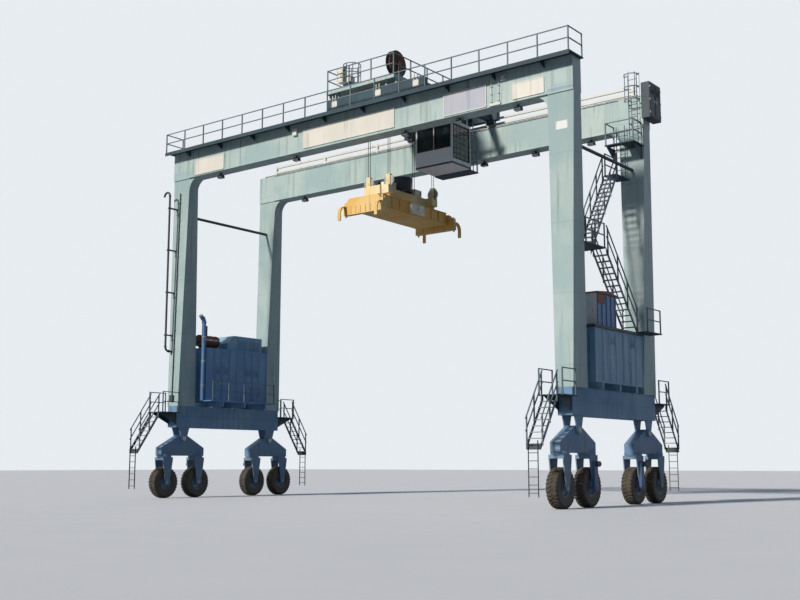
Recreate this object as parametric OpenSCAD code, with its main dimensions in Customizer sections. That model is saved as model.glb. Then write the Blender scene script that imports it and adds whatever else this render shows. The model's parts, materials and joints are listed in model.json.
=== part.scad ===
// Rubber tyred gantry crane, 23.47 m span, eight wheels, with an adjustable container spreader.
// Frame: X runs along the girders, Y along the travel direction, Z up, origin on the ground at the centre.
// All sizes are in millimetres.

/* [Portal] */
// Distance between the leg centre lines of the two side frames
span = 23470; // [20000:10:27000]
// Distance between the bogie pins of one side frame
wheel_base = 6400; // [6200:10:7200]
// Height of the girder underside above the ground
girder_bottom = 17050; // [16500:10:19500]
// Depth of a girder over its flanges
girder_depth = 1520; // [1300:10:1800]
// Width of a girder box
girder_w = 700; // [600:10:800]
// How far a trolley rail lies inside the middle of its girder
rail_offset = 200; // [150:5:250]
// Thickness of a girder flange
flange_t = 30; // [20:1:50]
// How far a flange stands out beyond the web
flange_out = 45; // [20:1:80]

/* [Legs] */
// Width of a leg along the span at the girder
leg_head_x = 1240; // [1000:10:1400]
// Width of a leg along the span at the sill
leg_foot_x = 800; // [600:10:900]
// Width of a leg along the travel direction at the girder
leg_head_y = 600; // [450:10:690]
// Width of a leg along the travel direction at the sill
leg_foot_y = 1200; // [900:10:1300]
// Radius of the curved haunch between leg and girder
haunch_r = 650; // [400:10:900]
// Height of the tie between the two legs of a side frame
tie_z = 15100; // [14700:10:15500]
// Diameter of the tie
tie_d = 150; // [100:10:220]

/* [Sill and bogies] */
// Height of the sill underside above the ground
sill_bottom = 3650; // [3500:10:4000]
// Depth of the sill
sill_depth = 1130; // [1000:10:1300]
// Width of the sill box
sill_w = 680; // [560:10:760]
// Diameter of a tyre
tyre_d = 1615; // [1500:5:1700]
// Width of a tyre
tyre_w = 500; // [400:10:560]
// Diameter of a wheel rim at its bead
rim_d = 640; // [560:10:760]
// Diameter of a wheel axle
axle_d = 120; // [90:1:160]
// Distance between the two wheels of one bogie
bogie_pitch = 2150; // [2050:10:2400]
// Width of the bogie beam
bogie_w = 460; // [380:10:520]
// Height of the bogie pin above the ground
pin_z = 3080; // [3000:10:3180]
// Diameter of the bogie pin
pin_d = 180; // [120:1:220]
// Thickness of a saddle cheek plate
cheek_t = 60; // [40:1:90]
// Diameter of the steering bearing over a wheel
slew_d = 760; // [600:10:900]
// Thickness of a fork side plate
fork_t = 50; // [30:1:70]

/* [Walkway and railings] */
// Width of the walkway beside the front girder
walkway_w = 550; // [450:10:800]
// Thickness of a walkway deck
deck_t = 50; // [30:1:80]
// Height of a railing above its deck
rail_h = 1050; // [900:10:1200]
// Outer size of a railing tube
tube_d = 50; // [38:1:70]
// Largest distance between two railing posts
post_pitch = 1480; // [1000:10:2000]
// Distance between two brackets under the walkway
bracket_pitch = 2450; // [1800:10:3500]

/* [Side frames] */
// Length of the electrical house along the travel direction
ehouse_l = 4450; // [3600:10:4700]
// Depth of the electrical house along the span
ehouse_w = 1250; // [1000:10:1500]
// Height of the electrical house walls
ehouse_h = 2250; // [2000:10:2500]
// Length of the power house along the travel direction
powerhouse_l = 4600; // [3800:10:4700]
// Depth of the power house along the span
powerhouse_w = 1900; // [1500:10:2200]
// Height of the power house
powerhouse_h = 2900; // [2400:10:3100]
// Height of the skids under both houses
skid_h = 270; // [150:10:350]
// Height of the middle stair landing above the ground
landing_z = 10800; // [10400:10:11200]
// Height of the top stair landing above the ground
top_landing_z = 14700; // [14500:10:14750]
// Clear width of a stair
stair_w = 600; // [500:10:640]
// Rise of one stair step
step_rise = 230; // [200:5:260]

/* [Trolley] */
// Place of the hoist centre along the girders, from the crane centre
trolley_x = 600; // [-500:10:1500]
// Distance between the two trolley rails
rail_gauge = 6200; // [6100:10:6400]
// Height of a trolley rail
rail_height = 110; // [80:1:150]
// Diameter of a trolley wheel
trolley_wheel_d = 500; // [400:10:560]
// Reach of the trolley frame to the left of the hoist centre
trolley_left = 2100; // [1900:10:2500]
// Reach of the trolley frame to the right of the hoist centre
trolley_right = 3800; // [3750:10:4300]
// Height of the trolley deck above the trolley frame
deck_lift = 500; // [400:10:700]

/* [Cabin] */
// Length of the cabin along the span
cabin_l = 2150; // [1900:10:2300]
// Width of the cabin along the travel direction
cabin_w = 1550; // [1400:10:1700]
// Height of the cabin
cabin_h = 2150; // [2000:10:2300]
// Thickness of a cabin wall
cabin_t = 60; // [40:1:90]
// Height of the cabin floor above the ground
cabin_floor_z = 15850; // [15700:10:16000]

/* [Spreader] */
// Height of the spreader underside above the ground as pictured
spreader_z = 13600; // [12800:10:13900]
// Length of the spreader frame over its ends
spreader_frame_l = 5200; // [4800:10:5400]
// Width of the spreader between its side faces
spreader_frame_w = 1760; // [1600:10:1900]
// Height of the spreader frame
spreader_frame_h = 620; // [520:10:700]
// Gap between the spreader frame and an end beam with the spreader short
end_gap = 177; // [117:1:237]
// Thickness of an end beam
end_t = 240; // [200:5:280]
// Width over the end beams
end_beam_w = 2438; // [2400:1:2500]
// Length of the headblock
headblock_l = 4200; // [3600:10:4600]
// Width of the headblock
headblock_w = 1500; // [1300:10:1600]
// Diameter of a hoist rope
rope_d = 32; // [22:1:40]

/* [Hidden] */

// Colours of the paint and the bare parts
pale = [0.62, 0.74, 0.74];
blue = [0.13, 0.26, 0.45];
steel = [0.45, 0.48, 0.50];
dark = [0.10, 0.13, 0.16];
white = [0.88, 0.88, 0.84];
yellow = [0.93, 0.66, 0.16];
rust = [0.38, 0.22, 0.14];
rubber = [0.09, 0.09, 0.09];
glass = [0.12, 0.16, 0.18];

// A small running clearance and the fit between a shaft and its bore
fit = 0.3;
rail_bar_d = tube_d * 0.84;
slide_gap = 12;

// Places that follow from the driving sizes
leg_x = span / 2;
corner_y = wheel_base / 2;
girder_y = rail_gauge / 2 + rail_offset;
girder_top = girder_bottom + girder_depth;
sill_top = sill_bottom + sill_depth;
face_y = girder_y + girder_w / 2;
head_in = leg_x - leg_head_x / 2;
head_out = leg_x + leg_head_x / 2;
rail_y = rail_gauge / 2;
rail_top = girder_top + rail_height;
leg_rise = girder_bottom - sill_top;
rib_w = 60;
rib_out = 20;
powerhouse_x = leg_x + 100;
side_reach = powerhouse_x + powerhouse_w / 2 + rib_out;

// Where a leg face lies at height z: along the span, and along the travel direction
function leg_share(z) = (z - sill_top) / leg_rise;
function leg_half_x(z) = (leg_foot_x + (leg_head_x - leg_foot_x) * leg_share(z)) / 2;
function leg_half_y(z) = (leg_foot_y + (leg_head_y - leg_foot_y) * leg_share(z)) / 2;
function leg_mid_y(z) = corner_y + (girder_y - corner_y) * leg_share(z);
function leg_inner_y(z) = leg_mid_y(z) - leg_half_y(z);
function leg_outer_y(z) = leg_mid_y(z) + leg_half_y(z);

// A box from one corner to the opposite one
module block(a, b) {
    translate(a) cube(b - a);
}

// A profile drawn in X and Z, extruded along Y from y0 to y1
module slab_xz(y0, y1) {
    translate([0, y1, 0]) rotate([90, 0, 0]) linear_extrude(y1 - y0) children();
}

// A profile drawn in Y and Z, extruded along X from x0 to x1
module slab_yz(x0, x1) {
    translate([x0, 0, 0]) rotate([90, 0, 90]) linear_extrude(x1 - x0) children();
}

// A square bar between two points
module bar(a, b, d = tube_d) {
    v = b - a;
    l = norm(v);
    turn = atan2(v[1], v[0]);
    tilt = acos(v[2] / l);
    translate(a) rotate([0, tilt, turn]) translate([-d / 2, -d / 2, 0]) cube([d, d, l]);
}

// Mirrors its children to the side given by the signs of x and y
module quarter(sx, sy) {
    mirror([sx < 0 ? 1 : 0, 0, 0]) mirror([0, sy < 0 ? 1 : 0, 0]) children();
}

// A straight railing from a to b, standing on the deck at their height; first and last tell which
// of its end posts are its own and which belong to the railing that it joins
module railing(a, b, first = true, last = true) {
    n = max(1, ceil(norm(b - a) / post_pitch));
    for (z = [rail_h - tube_d / 2, rail_h / 2]) bar(a + [0, 0, z], b + [0, 0, z], rail_bar_d);
    for (i = [first ? 0 : 1 : 1 : last ? n : n - 1]) let (p = a + (b - a) * i / n)
        bar(p, p + [0, 0, rail_h]);
}

// The two girders and the rails that the trolley runs on
module girder(side) {
    x = head_in;
    color(pale) {
        block([-x, side * girder_y - girder_w / 2, girder_bottom + flange_t],
            [x, side * girder_y + girder_w / 2, girder_top - flange_t]);
        for (z = [girder_bottom, girder_top - flange_t])
            block([-x, side * girder_y - girder_w / 2 - flange_out, z],
                [x, side * girder_y + girder_w / 2 + flange_out, z + flange_t]);
    }
}

rail_foot_w = 150;
rail_head_w = 70;
module trolley_rails() {
    foot = 22;
    head = 38;
    web = 20;
    color(steel) for (s = [-1, 1]) slab_yz(-head_out + 300, head_out - 300)
        translate([s * rail_y, girder_top]) polygon([
            [-rail_foot_w / 2, 0], [rail_foot_w / 2, 0], [rail_foot_w / 2, foot], [web / 2, foot + 12],
            [web / 2, rail_height - head], [rail_head_w / 2, rail_height - head + 8],
            [rail_head_w / 2, rail_height], [-rail_head_w / 2, rail_height],
            [-rail_head_w / 2, rail_height - head + 8], [-web / 2, rail_height - head],
            [-web / 2, foot + 12], [-rail_foot_w / 2, foot]]);
}

// A tapered leg with the portal corner over it and the curved haunch below the girder
module leg(sx, sy) {
    color(pale) quarter(sx, sy) {
        intersection() {
            slab_xz(girder_y - 2000, girder_y + 2000) polygon([
                [leg_x - leg_foot_x / 2, sill_top], [leg_x + leg_foot_x / 2, sill_top],
                [head_out, girder_bottom], [head_in, girder_bottom]]);
            slab_yz(leg_x - 2000, leg_x + 2000) polygon([
                [corner_y - leg_foot_y / 2, sill_top], [corner_y + leg_foot_y / 2, sill_top],
                [girder_y + leg_head_y / 2, girder_bottom], [girder_y - leg_head_y / 2, girder_bottom]]);
        }
        block([head_in, girder_y - girder_w / 2, girder_bottom], [head_out, face_y, girder_top]);
        slab_xz(girder_y - leg_head_y / 2, girder_y + leg_head_y / 2) haunch_profile();
    }
}

// The haunch in X and Z: a corner plate with one round edge, let into the leg by its overlap
module haunch_profile() {
    overlap = 60;
    difference() {
        translate([head_in - haunch_r, girder_bottom - haunch_r]) square([haunch_r + overlap, haunch_r]);
        translate([head_in - haunch_r, girder_bottom - haunch_r]) circle(r = haunch_r, $fn = 96);
    }
}

// The sill of a side frame with the cheeks that hold the bogie pins
cheek_w = 700;
cheek_gap = bogie_w / 2 + slide_gap;
module sill(side) {
    color(blue) quarter(side, 1) {
        block([leg_x - sill_w / 2, -corner_y - leg_foot_y / 2, sill_bottom],
            [leg_x + sill_w / 2, corner_y + leg_foot_y / 2, sill_top - flange_t]);
        block([leg_x - leg_foot_x / 2, -corner_y - leg_foot_y / 2, sill_top - flange_t],
            [leg_x + leg_foot_x / 2, corner_y + leg_foot_y / 2, sill_top]);
        for (y = [-corner_y, corner_y], s = [-1, 1]) saddle_cheek(y, leg_x + s * (cheek_gap + cheek_t / 2));
    }
}

module saddle_cheek(y, x) {
    difference() {
        slab_yz(x - cheek_t / 2, x + cheek_t / 2) hull() {
            translate([y - cheek_w / 2, sill_bottom]) square([cheek_w, 1]);
            translate([y, pin_z]) circle(d = pin_d * 1.9, $fn = 32);
        }
        translate([x - cheek_t, y, pin_z]) rotate([0, 90, 0]) cylinder(d = pin_d + 2 * fit, h = 2 * cheek_t, $fn = 64);
    }
}

// The bogie pins, headed at both ends
pin_head_d = pin_d * 1.4;
pin_head_t = 30;
module bogie_pins() {
    reach = cheek_gap + cheek_t;
    color(steel) for (sx = [-1, 1], y = [-corner_y, corner_y])
        translate([sx * leg_x, y, pin_z]) rotate([0, 90, 0]) {
            translate([0, 0, -reach]) cylinder(d = pin_d, h = 2 * reach, $fn = 64);
            for (s = [-1, 1]) translate([0, 0, s * (reach + pin_head_t / 2)])
                cylinder(d = pin_head_d, h = pin_head_t, center = true, $fn = 64);
        }
}

// A round tie between the two legs of each side frame
module leg_ties() {
    y = leg_inner_y(tie_z - tie_d / 2) - fit;
    color(steel) for (s = [-1, 1]) translate([s * leg_x, -y, tie_z])
        rotate([-90, 0, 0]) cylinder(d = tie_d, h = 2 * y, $fn = 48);
}

// A bogie beam hanging on its pin, with a round steering seat over each wheel
slew_t = 80;
beam_bottom = tyre_d + 560;
beam_end_h = 420;
beam_reach = bogie_pitch / 2 + slew_d / 2;
module bogie(sx, sy) {
    color(blue) translate([sx * leg_x, sy * corner_y, 0]) difference() {
        union() {
            slab_yz(-bogie_w / 2, bogie_w / 2) polygon([
                [-beam_reach, beam_bottom], [beam_reach, beam_bottom],
                [beam_reach, beam_bottom + beam_end_h], [pin_d * 1.3, pin_z + pin_d * 0.95],
                [-pin_d * 1.3, pin_z + pin_d * 0.95], [-beam_reach, beam_bottom + beam_end_h]]);
            for (s = [-1, 1]) translate([0, s * bogie_pitch / 2, beam_bottom])
                cylinder(d = slew_d, h = 60, $fn = 64);
        }
        translate([-bogie_w, 0, pin_z]) rotate([0, 90, 0])
            cylinder(d = pin_d + 2 * fit, h = 2 * bogie_w, $fn = 64);
        for (s = [-1, 1]) translate([0, s * bogie_pitch / 2, beam_bottom - 1])
            cylinder(d = king_d + 2 * fit, h = king_h + 1 + fit, $fn = 48);
    }
}

// A wheel fork: its king pin turns in the bogie beam and its two plates carry the axle
king_d = 140;
king_h = 260;
axle_z = tyre_d / 2;
fork_in = tyre_w / 2 + 40;
wheel_places = [for (sx = [1, -1], sy = [-1, 1], s = [1, -1])
    [sx * leg_x, sy * (corner_y + s * bogie_pitch / 2), 0]];
fork_top = beam_bottom - fit;
module fork(n) {
    crown_t = 150;
    color(blue) translate(wheel_places[n]) difference() {
        union() {
            translate([0, 0, fork_top]) cylinder(d = king_d, h = king_h, $fn = 48);
            translate([0, 0, fork_top - slew_t]) cylinder(d = slew_d, h = slew_t, $fn = 64);
            block([-fork_in - fork_t, -slew_d / 2 + 60, fork_top - slew_t - crown_t],
                [fork_in + fork_t, slew_d / 2 - 60, fork_top - slew_t]);
            for (s = [-1, 1]) fork_plate(s * (fork_in + fork_t / 2), fork_top - slew_t - crown_t);
        }
        translate([-tyre_w, 0, axle_z]) rotate([0, 90, 0])
            cylinder(d = axle_d + 2 * fit, h = 2 * tyre_w, $fn = 64);
    }
}

module fork_plate(x, top) {
    slab_yz(x - fork_t / 2, x + fork_t / 2) hull() {
        translate([-slew_d / 2 + 60, top - 1]) square([slew_d - 120, 1]);
        translate([0, axle_z]) circle(d = axle_d * 2.4, $fn = 32);
    }
}

// A wheel: a tyre with staggered lugs on a dished rim, with the axle that turns in the fork
lug_h = 28;
lug_w = 84;
lugs = 30;
module wheel(n) {
    shoulder = 70;
    rim_w = tyre_w - 120;
    color(rubber) translate(wheel_places[n] + [0, 0, axle_z]) rotate([0, 90, 0]) {
        for (m = [0, 1]) mirror([0, 0, m]) rotate([0, 0, m * 180 / lugs]) {
            translate([0, 0, 12]) linear_extrude(tyre_w / 2 - shoulder) lug_ring(tyre_d / 2);
            translate([0, 0, tyre_w / 2 - shoulder]) linear_extrude(shoulder * 0.75) lug_ring(tyre_d / 2 - lug_h * 0.55);
        }
        rotate_extrude($fn = 96) {
            hull() for (s = [-1, 1]) {
                translate([tyre_d / 2 - lug_h - shoulder, s * (tyre_w / 2 - shoulder)]) circle(r = shoulder, $fn = 32);
                translate([rim_d / 2, s * rim_w / 2 - (s > 0 ? 40 : 0)]) square([10, 40]);
            }
            difference() {
                translate([axle_d / 2 - 1, -rim_w / 2]) square([rim_d / 2 - axle_d / 2 + 2, rim_w]);
                translate([axle_d, 40]) square([rim_d / 2 - axle_d - 40, rim_w]);
                translate([axle_d, -40 - rim_w]) square([rim_d / 2 - axle_d - 40, rim_w]);
            }
        }
        cylinder(d = axle_d, h = 2 * (fork_in + fork_t), center = true, $fn = 64);
    }
}

// The lugs of one half of a tyre in section, joined by a ring inside the carcass
module lug_ring(r) {
    inner = tyre_d / 2 - 2.4 * lug_h;
    difference() {
        polygon([for (i = [0 : lugs - 1], c = [[inner, -1], [r, -0.84], [r, 0.84], [inner, 1]])
            let (a = i * 360 / lugs)
                [c[0] * cos(a) - c[1] * lug_w / 2 * sin(a), c[0] * sin(a) + c[1] * lug_w / 2 * cos(a)]]);
        circle(r = inner - 20, $fn = 96);
    }
}

// The walkway beside the front girder: deck, edge channel and triangular brackets
walk_end = head_out + 150;
walk_y = face_y + walkway_w;
edge_h = 140;
bracket_h = 300;
module walkway() {
    under = girder_top - deck_t;
    n = floor((2 * walk_end - 600) / bracket_pitch);
    color(pale) {
        block([-walk_end, -walk_y, under], [walk_end, -face_y - flange_out, girder_top]);
        block([-walk_end, -walk_y, under - edge_h], [walk_end, -walk_y + 12, under]);
        for (s = [-1, 1]) block([min(s * head_out, s * walk_end), -face_y - flange_out, under],
            [max(s * head_out, s * walk_end), -girder_y + girder_w / 2, girder_top]);
        for (i = [-n / 2 : n / 2]) slab_yz(i * bracket_pitch - 8, i * bracket_pitch + 8)
            polygon([[-face_y, under], [-walk_y + 12, under], [-walk_y + 12, under - 80],
                [-face_y, under - bracket_h]]);
    }
}

// The railing on the walkway and round its two ends
module walkway_railing() {
    y = -walk_y + tube_d;
    x = walk_end - tube_d;
    inner = -girder_y + girder_w / 2 - tube_d;
    color(steel) {
        railing([-x, y, girder_top], [x, y, girder_top]);
        for (s = [-1, 1]) railing([s * x, y, girder_top], [s * x, inner, girder_top], first = false);
    }
}

// Blank boards on the outer face of the front girder: left, right, bottom, top
boards = [[-10650, -8400, 80, 920], [-2750, 3010, 140, 1110], [5830, 8100, 80, 1120], [9450, 11000, 120, 830]];
board_t = 30;
module girder_boards() {
    color(white) for (b = boards)
        block([b[0], -face_y - board_t, girder_bottom + b[2]], [b[1], -face_y, girder_bottom + b[3]]);
}

// The cable track along the rear girder: two rails on short posts
track_y = girder_y + girder_w / 2 - 60;
track_end = head_out - 700;
module festoon_track() {
    lift = 330;
    gap = 300;
    post = 60;
    n = 6;
    color(white) {
        for (z = [lift, lift + gap])
            block([-track_end, track_y - 50, girder_top + z], [track_end, track_y + 50, girder_top + z + 110]);
        for (i = [0 : n]) let (x = -track_end + post + (2 * track_end - 2 * post) * i / n)
            block([x - post, track_y - 60, girder_top], [x + post, track_y + 60, girder_top + lift + gap + 130]);
    }
}

// Floodlights under the girders
lamp_x = [-9000, -3500, 3400, 6440, 9500];
module floodlights() {
    color(dark) for (x = lamp_x, s = [-1, 1]) translate([x, s * girder_y, girder_bottom]) {
        translate([-40, -40, -120]) cube([80, 80, 120]);
        translate([0, 0, -260]) slab_yz(-170, 170)
            polygon([[-130, 0], [130, 0], [90, 140], [-90, 140]]);
    }
}

// The cable cabinet on the right end of the rear girder
module end_cabinet() {
    w = 1200;
    d = 420;
    h = 1700;
    color(dark) {
        block([head_out, girder_y - w / 2 + 100, girder_top - h + 560],
            [head_out + d, girder_y + w / 2 + 100, girder_top + 560]);
        block([head_out - 500, girder_y - 40, girder_top], [head_out, girder_y + 40, girder_top + 80]);
    }
}

// Stairs of the right side frame: a lower flight in the outer lane, an upper one in the inner lane
ehouse_x = leg_x - 60;
ehouse_floor = sill_top + skid_h;
roof_t = 120;
roof_z = ehouse_floor + ehouse_h + roof_t;
stringer_t = 20;
stringer_h = 230;
lane_w = stair_w + 2 * stringer_t;
lane_out = leg_x + leg_foot_x / 2 + 180 - lane_w / 2;
lane_in = leg_x - tie_d / 2 - 70 - lane_w / 2;
low_landing_z = roof_z + deck_t;
landing_y = -1000;
low_flight_y = landing_y + (landing_z - low_landing_z) / tan(50);
top_flight_y = landing_y + (top_landing_z - landing_z) / tan(56);

// A flight along Y from its lower end [y, z] to its upper end; its stringers stop at foot below the lower end
module flight(x, low, high, foot = stringer_h) {
    n = round((high[1] - low[1]) / step_rise);
    step = (high - low) / n;
    heel = (stringer_h - foot) * step[0] / step[1];
    for (s = [-1, 1]) slab_yz(x + s * (stair_w + stringer_t) / 2 - stringer_t / 2,
        x + s * (stair_w + stringer_t) / 2 + stringer_t / 2)
            polygon([low, low - [0, foot], low + [heel, -foot], high - [0, stringer_h], high]);
    for (i = [1 : n - 1]) let (c = low + step * i)
        block([x - stair_w / 2, c[0] - 110, c[1] - 60], [x + stair_w / 2, c[0] + 110, c[1] - 30]);
}

module stair_flights() {
    color(steel) {
        flight(lane_out, [low_flight_y, low_landing_z], [landing_y, landing_z], deck_t - fit);
        flight(lane_in, [landing_y, landing_z], [top_flight_y, top_landing_z]);
        for (sx = [-1, 1], sy = [-1, 1]) quarter(sx, sy)
            mirror([0, 1, 0]) flight(leg_x, [-end_step_y, end_step_z], [-end_deck_y, end_deck_z]);
    }
}

// The landings: over the electrical house, at the front leg, at the rear leg and below the cage
hatch = [stair_w + 60, 640];
cage_deck_z = 16200;
cage_deck_y = girder_y - girder_w / 2 - 1050;
module stair_landings() {
    color(dark) {
        front = -leg_inner_y(landing_z - deck_t) + fit;
        rear_top = leg_inner_y(top_landing_z - deck_t) - fit;
        rear_cage = leg_inner_y(cage_deck_z - deck_t) - fit;
        block([lane_in - lane_w / 2, front, landing_z - deck_t], [lane_out + lane_w / 2, landing_y, landing_z]);
        block([lane_in - lane_w / 2, top_flight_y, top_landing_z - deck_t],
            [lane_in + lane_w / 2, rear_top, top_landing_z]);
        difference() {
            block([lane_in - lane_w / 2 - 60, cage_deck_y, cage_deck_z - deck_t],
                [head_out, rear_cage, cage_deck_z]);
            block([lane_in - hatch[0] / 2, rear_cage - hatch[1] - 60, cage_deck_z - 2 * deck_t],
                [lane_in + hatch[0] / 2, rear_cage - 60, cage_deck_z + 1]);
        }
        for (x = [lane_in - lane_w / 2 - 40, head_out - 120])
            leg_gusset(x, cage_deck_z - deck_t, cage_deck_y + 200, 600);
        low_landing();
    }
}

module low_landing() {
    leg_side = leg_x + leg_half_x(low_landing_z) + fit;
    out = side_reach;
    block([lane_out - lane_w / 2, low_flight_y, roof_z], [out, ehouse_l / 2, low_landing_z]);
    block([leg_side, ehouse_l / 2, roof_z], [out, corner_y, low_landing_z]);
}

// A gusset under a landing, reaching to the rear leg or to the girder corner above it
module leg_gusset(x, top, y0, h) {
    slab_yz(x, x + 16) polygon([[y0, top], [leg_inner_y(top - h) - fit, top],
        [leg_inner_y(top - h) - fit, top - h], [leg_inner_y(top - h) - fit - 40, top - h], [y0, top - 40]]);
}

// Handrails beside a flight: posts against the stringers, two sloping rails
module flight_rails(x, low, high, foot = stringer_h) {
    n = ceil(norm(high - low) / post_pitch);
    for (s = [-1, 1]) {
        px = x + s * (lane_w + tube_d) / 2;
        a = [px, low[0], low[1]];
        b = [px, high[0], high[1]];
        up = [0, 0, rail_h - 100];
        bar(a + up, b + up, rail_bar_d);
        bar(a + up / 2, b + up / 2, rail_bar_d);
        for (i = [0 : n]) let (p = a + (b - a) * (i + 0.12) / (n + 0.24))
            bar([p[0], p[1], max(p[2] - stringer_h * 0.8, low[1] - foot)], p + up + [0, 0, tube_d / 2]);
    }
}

module access_railings() {
    in = tube_d;
    rear_top = leg_inner_y(top_landing_z) - 100;
    color(steel) {
        flight_rails(lane_out, [low_flight_y, low_landing_z], [landing_y, landing_z], deck_t - fit);
        flight_rails(lane_in, [landing_y, landing_z], [top_flight_y, top_landing_z]);
        railing([lane_out + lane_w / 2 - in, -leg_inner_y(landing_z) + in + 60, landing_z],
            [lane_out + lane_w / 2 - in, landing_y - in, landing_z]);
        railing([lane_in - lane_w / 2 + in, -leg_inner_y(landing_z) + in + 60, landing_z],
            [lane_in - lane_w / 2 + in, landing_y - in, landing_z]);
        railing([lane_in - lane_w / 2 + in, top_flight_y + in, top_landing_z],
            [lane_in - lane_w / 2 + in, rear_top, top_landing_z]);
        cage_deck_rails(in);
        low_deck_rails(in);
        for (sx = [-1, 1], sy = [-1, 1]) quarter(sx, sy) end_rails(in);
        railing([-inner_walk_x - in, -powerhouse_l / 2, inner_walk_z], [-inner_walk_x - in, powerhouse_l / 2, inner_walk_z]);
    }
}

module cage_deck_rails(in) {
    x0 = lane_in - lane_w / 2 - 60 + in;
    x1 = head_out - in;
    y0 = cage_deck_y + in;
    y1 = girder_y - girder_w / 2 - 120;
    railing([x0, y0, cage_deck_z], [x1, y0, cage_deck_z]);
    railing([x0, y0, cage_deck_z], [x0, y1 - 60, cage_deck_z], first = false);
    railing([x1, y0, cage_deck_z], [x1, y1, cage_deck_z], first = false);
}

module low_deck_rails(in) {
    x = side_reach - in;
    railing([x, low_flight_y + in, low_landing_z], [x, corner_y - in, low_landing_z]);
}

module end_rails(in) {
    x = end_deck_w / 2 - in;
    y0 = corner_y + leg_foot_y / 2 + in;
    y1 = end_deck_y - in;
    for (s = [-1, 1]) railing([leg_x + s * x, y0, end_deck_z], [leg_x + s * x, y1, end_deck_z]);
    mirror([0, 1, 0]) flight_rails(leg_x, [-end_step_y, end_step_z], [-end_deck_y, end_deck_z]);
}

// The platforms on the sill ends, each on two gussets, with a short ladder below its steps
end_deck_z = sill_top - 350;
end_deck_w = 1150;
end_deck_y = corner_y + leg_foot_y / 2 + 1150;
end_step_z = 2500;
end_step_y = end_deck_y + (end_deck_z - end_step_z) / tan(56);
module end_platforms() {
    y0 = corner_y + leg_foot_y / 2;
    color(dark) for (sx = [-1, 1], sy = [-1, 1]) quarter(sx, sy) {
        block([leg_x - end_deck_w / 2, y0, end_deck_z - deck_t], [leg_x + end_deck_w / 2, end_deck_y, end_deck_z]);
        for (s = [-1, 1]) slab_yz(leg_x + s * (sill_w / 2 - 60) - 10, leg_x + s * (sill_w / 2 - 60) + 10)
            polygon([[y0, end_deck_z - deck_t], [end_deck_y - 60, end_deck_z - deck_t],
                [end_deck_y - 60, end_deck_z - deck_t - 60], [y0, end_deck_z - deck_t - 560]]);
        ladder(leg_x, end_step_y + 25, 500, end_step_z + 120, 1);
        block([leg_x - lane_w / 2, end_step_y, end_step_z - stringer_h], [leg_x + lane_w / 2, end_step_y + 25, end_step_z]);
    }
}

// A ladder in a plane across Y, its stiles 40 mm deep on the side given by s
module ladder(x, y, z0, z1, s) {
    w = 420;
    n = floor((z1 - z0 - 200) / 300);
    for (m = [-1, 1]) block([x + m * w / 2 - 8, min(y, y + s * 60), z0], [x + m * w / 2 + 8, max(y, y + s * 60), z1]);
    for (i = [0 : n]) translate([x - w / 2, y + s * 30, z0 + 150 + i * 300]) rotate([0, 90, 0])
        cylinder(d = 30, h = w, $fn = 4);
}

// The caged ladder up to the girder and the short ladder through the hatch
cage_x = leg_x + 230;
cage_r = 370;
hatch_ladder_y = leg_inner_y(top_landing_z) - 100;
module caged_ladder() {
    wall = girder_y - girder_w / 2;
    off = 170;
    top = girder_top + rail_h;
    color(steel) {
        ladder(cage_x, wall - off, cage_deck_z, top, -1);
        ladder(lane_in, hatch_ladder_y, top_landing_z, cage_deck_z + rail_h, -1);
        for (m = [-1, 1]) block([lane_in + m * 210 - 8, hatch_ladder_y - 60, cage_deck_z - deck_t],
            [lane_in + m * 210 + 8, leg_inner_y(cage_deck_z - deck_t) - 60 - fit, cage_deck_z]);
        for (z = [girder_bottom + 200, girder_top - 200], m = [-1, 1])
            block([cage_x + m * 210 - 8, wall - off, z], [cage_x + m * 210 + 8, wall, z + 60]);
        for (z = [cage_deck_z + 2100 : 600 : top]) cage_hoop(wall - off - 60, z);
        for (a = [0, 45, 90, 135, 180])
            translate([cage_x - cage_r * cos(a), wall - off - 60 - cage_r * sin(a), cage_deck_z + 2100])
                rotate([0, 0, a]) translate([0, -15, 0]) cube([8, 30, top - cage_deck_z - 2100]);
    }
}

module cage_hoop(y, z) {
    translate([cage_x, y, z]) difference() {
        cylinder(r = cage_r + 8, h = 50, $fn = 48);
        translate([0, 0, -1]) cylinder(r = cage_r, h = 52, $fn = 48);
        translate([-2 * cage_r, 0, -1]) cube([4 * cage_r, 2 * cage_r, 52]);
    }
    for (m = [-1, 1]) block([cage_x + min(m * 210, m * (cage_r + 8)), y - 8, z], [cage_x + max(m * 210, m * (cage_r + 8)), y, z + 50]);
}

// A ribbed metal house on three skids: walls with pressed ribs on its long sides and a flat roof
skid_places = [-0.7, 0, 0.7];
module house(x, y_half, w, floor_z, h, ribs) {
    block([x - w / 2, -y_half, floor_z], [x + w / 2, y_half, floor_z + h]);
    for (s = [-1, 1], i = [0 : ribs]) let (y = -y_half + rib_w / 2 + (2 * y_half - rib_w) * i / ribs)
        block([x + s * w / 2 - (s < 0 ? rib_out : 0), y - rib_w / 2, floor_z + 60],
            [x + s * w / 2 + (s > 0 ? rib_out : 0), y + rib_w / 2, floor_z + h - 60]);
    for (y = y_half * skid_places)
        block([x - w / 2, y - 60, floor_z - skid_h], [x + w / 2, y + 60, floor_z]);
}

module electrical_house() {
    over = 80;
    color(blue) {
        house(ehouse_x, ehouse_l / 2, ehouse_w, ehouse_floor, ehouse_h, 7);
        block([ehouse_x - ehouse_w / 2 - over, -ehouse_l / 2 - over, ehouse_floor + ehouse_h],
            [ehouse_x + ehouse_w / 2 + over, ehouse_l / 2, roof_z]);
    }
}

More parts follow.
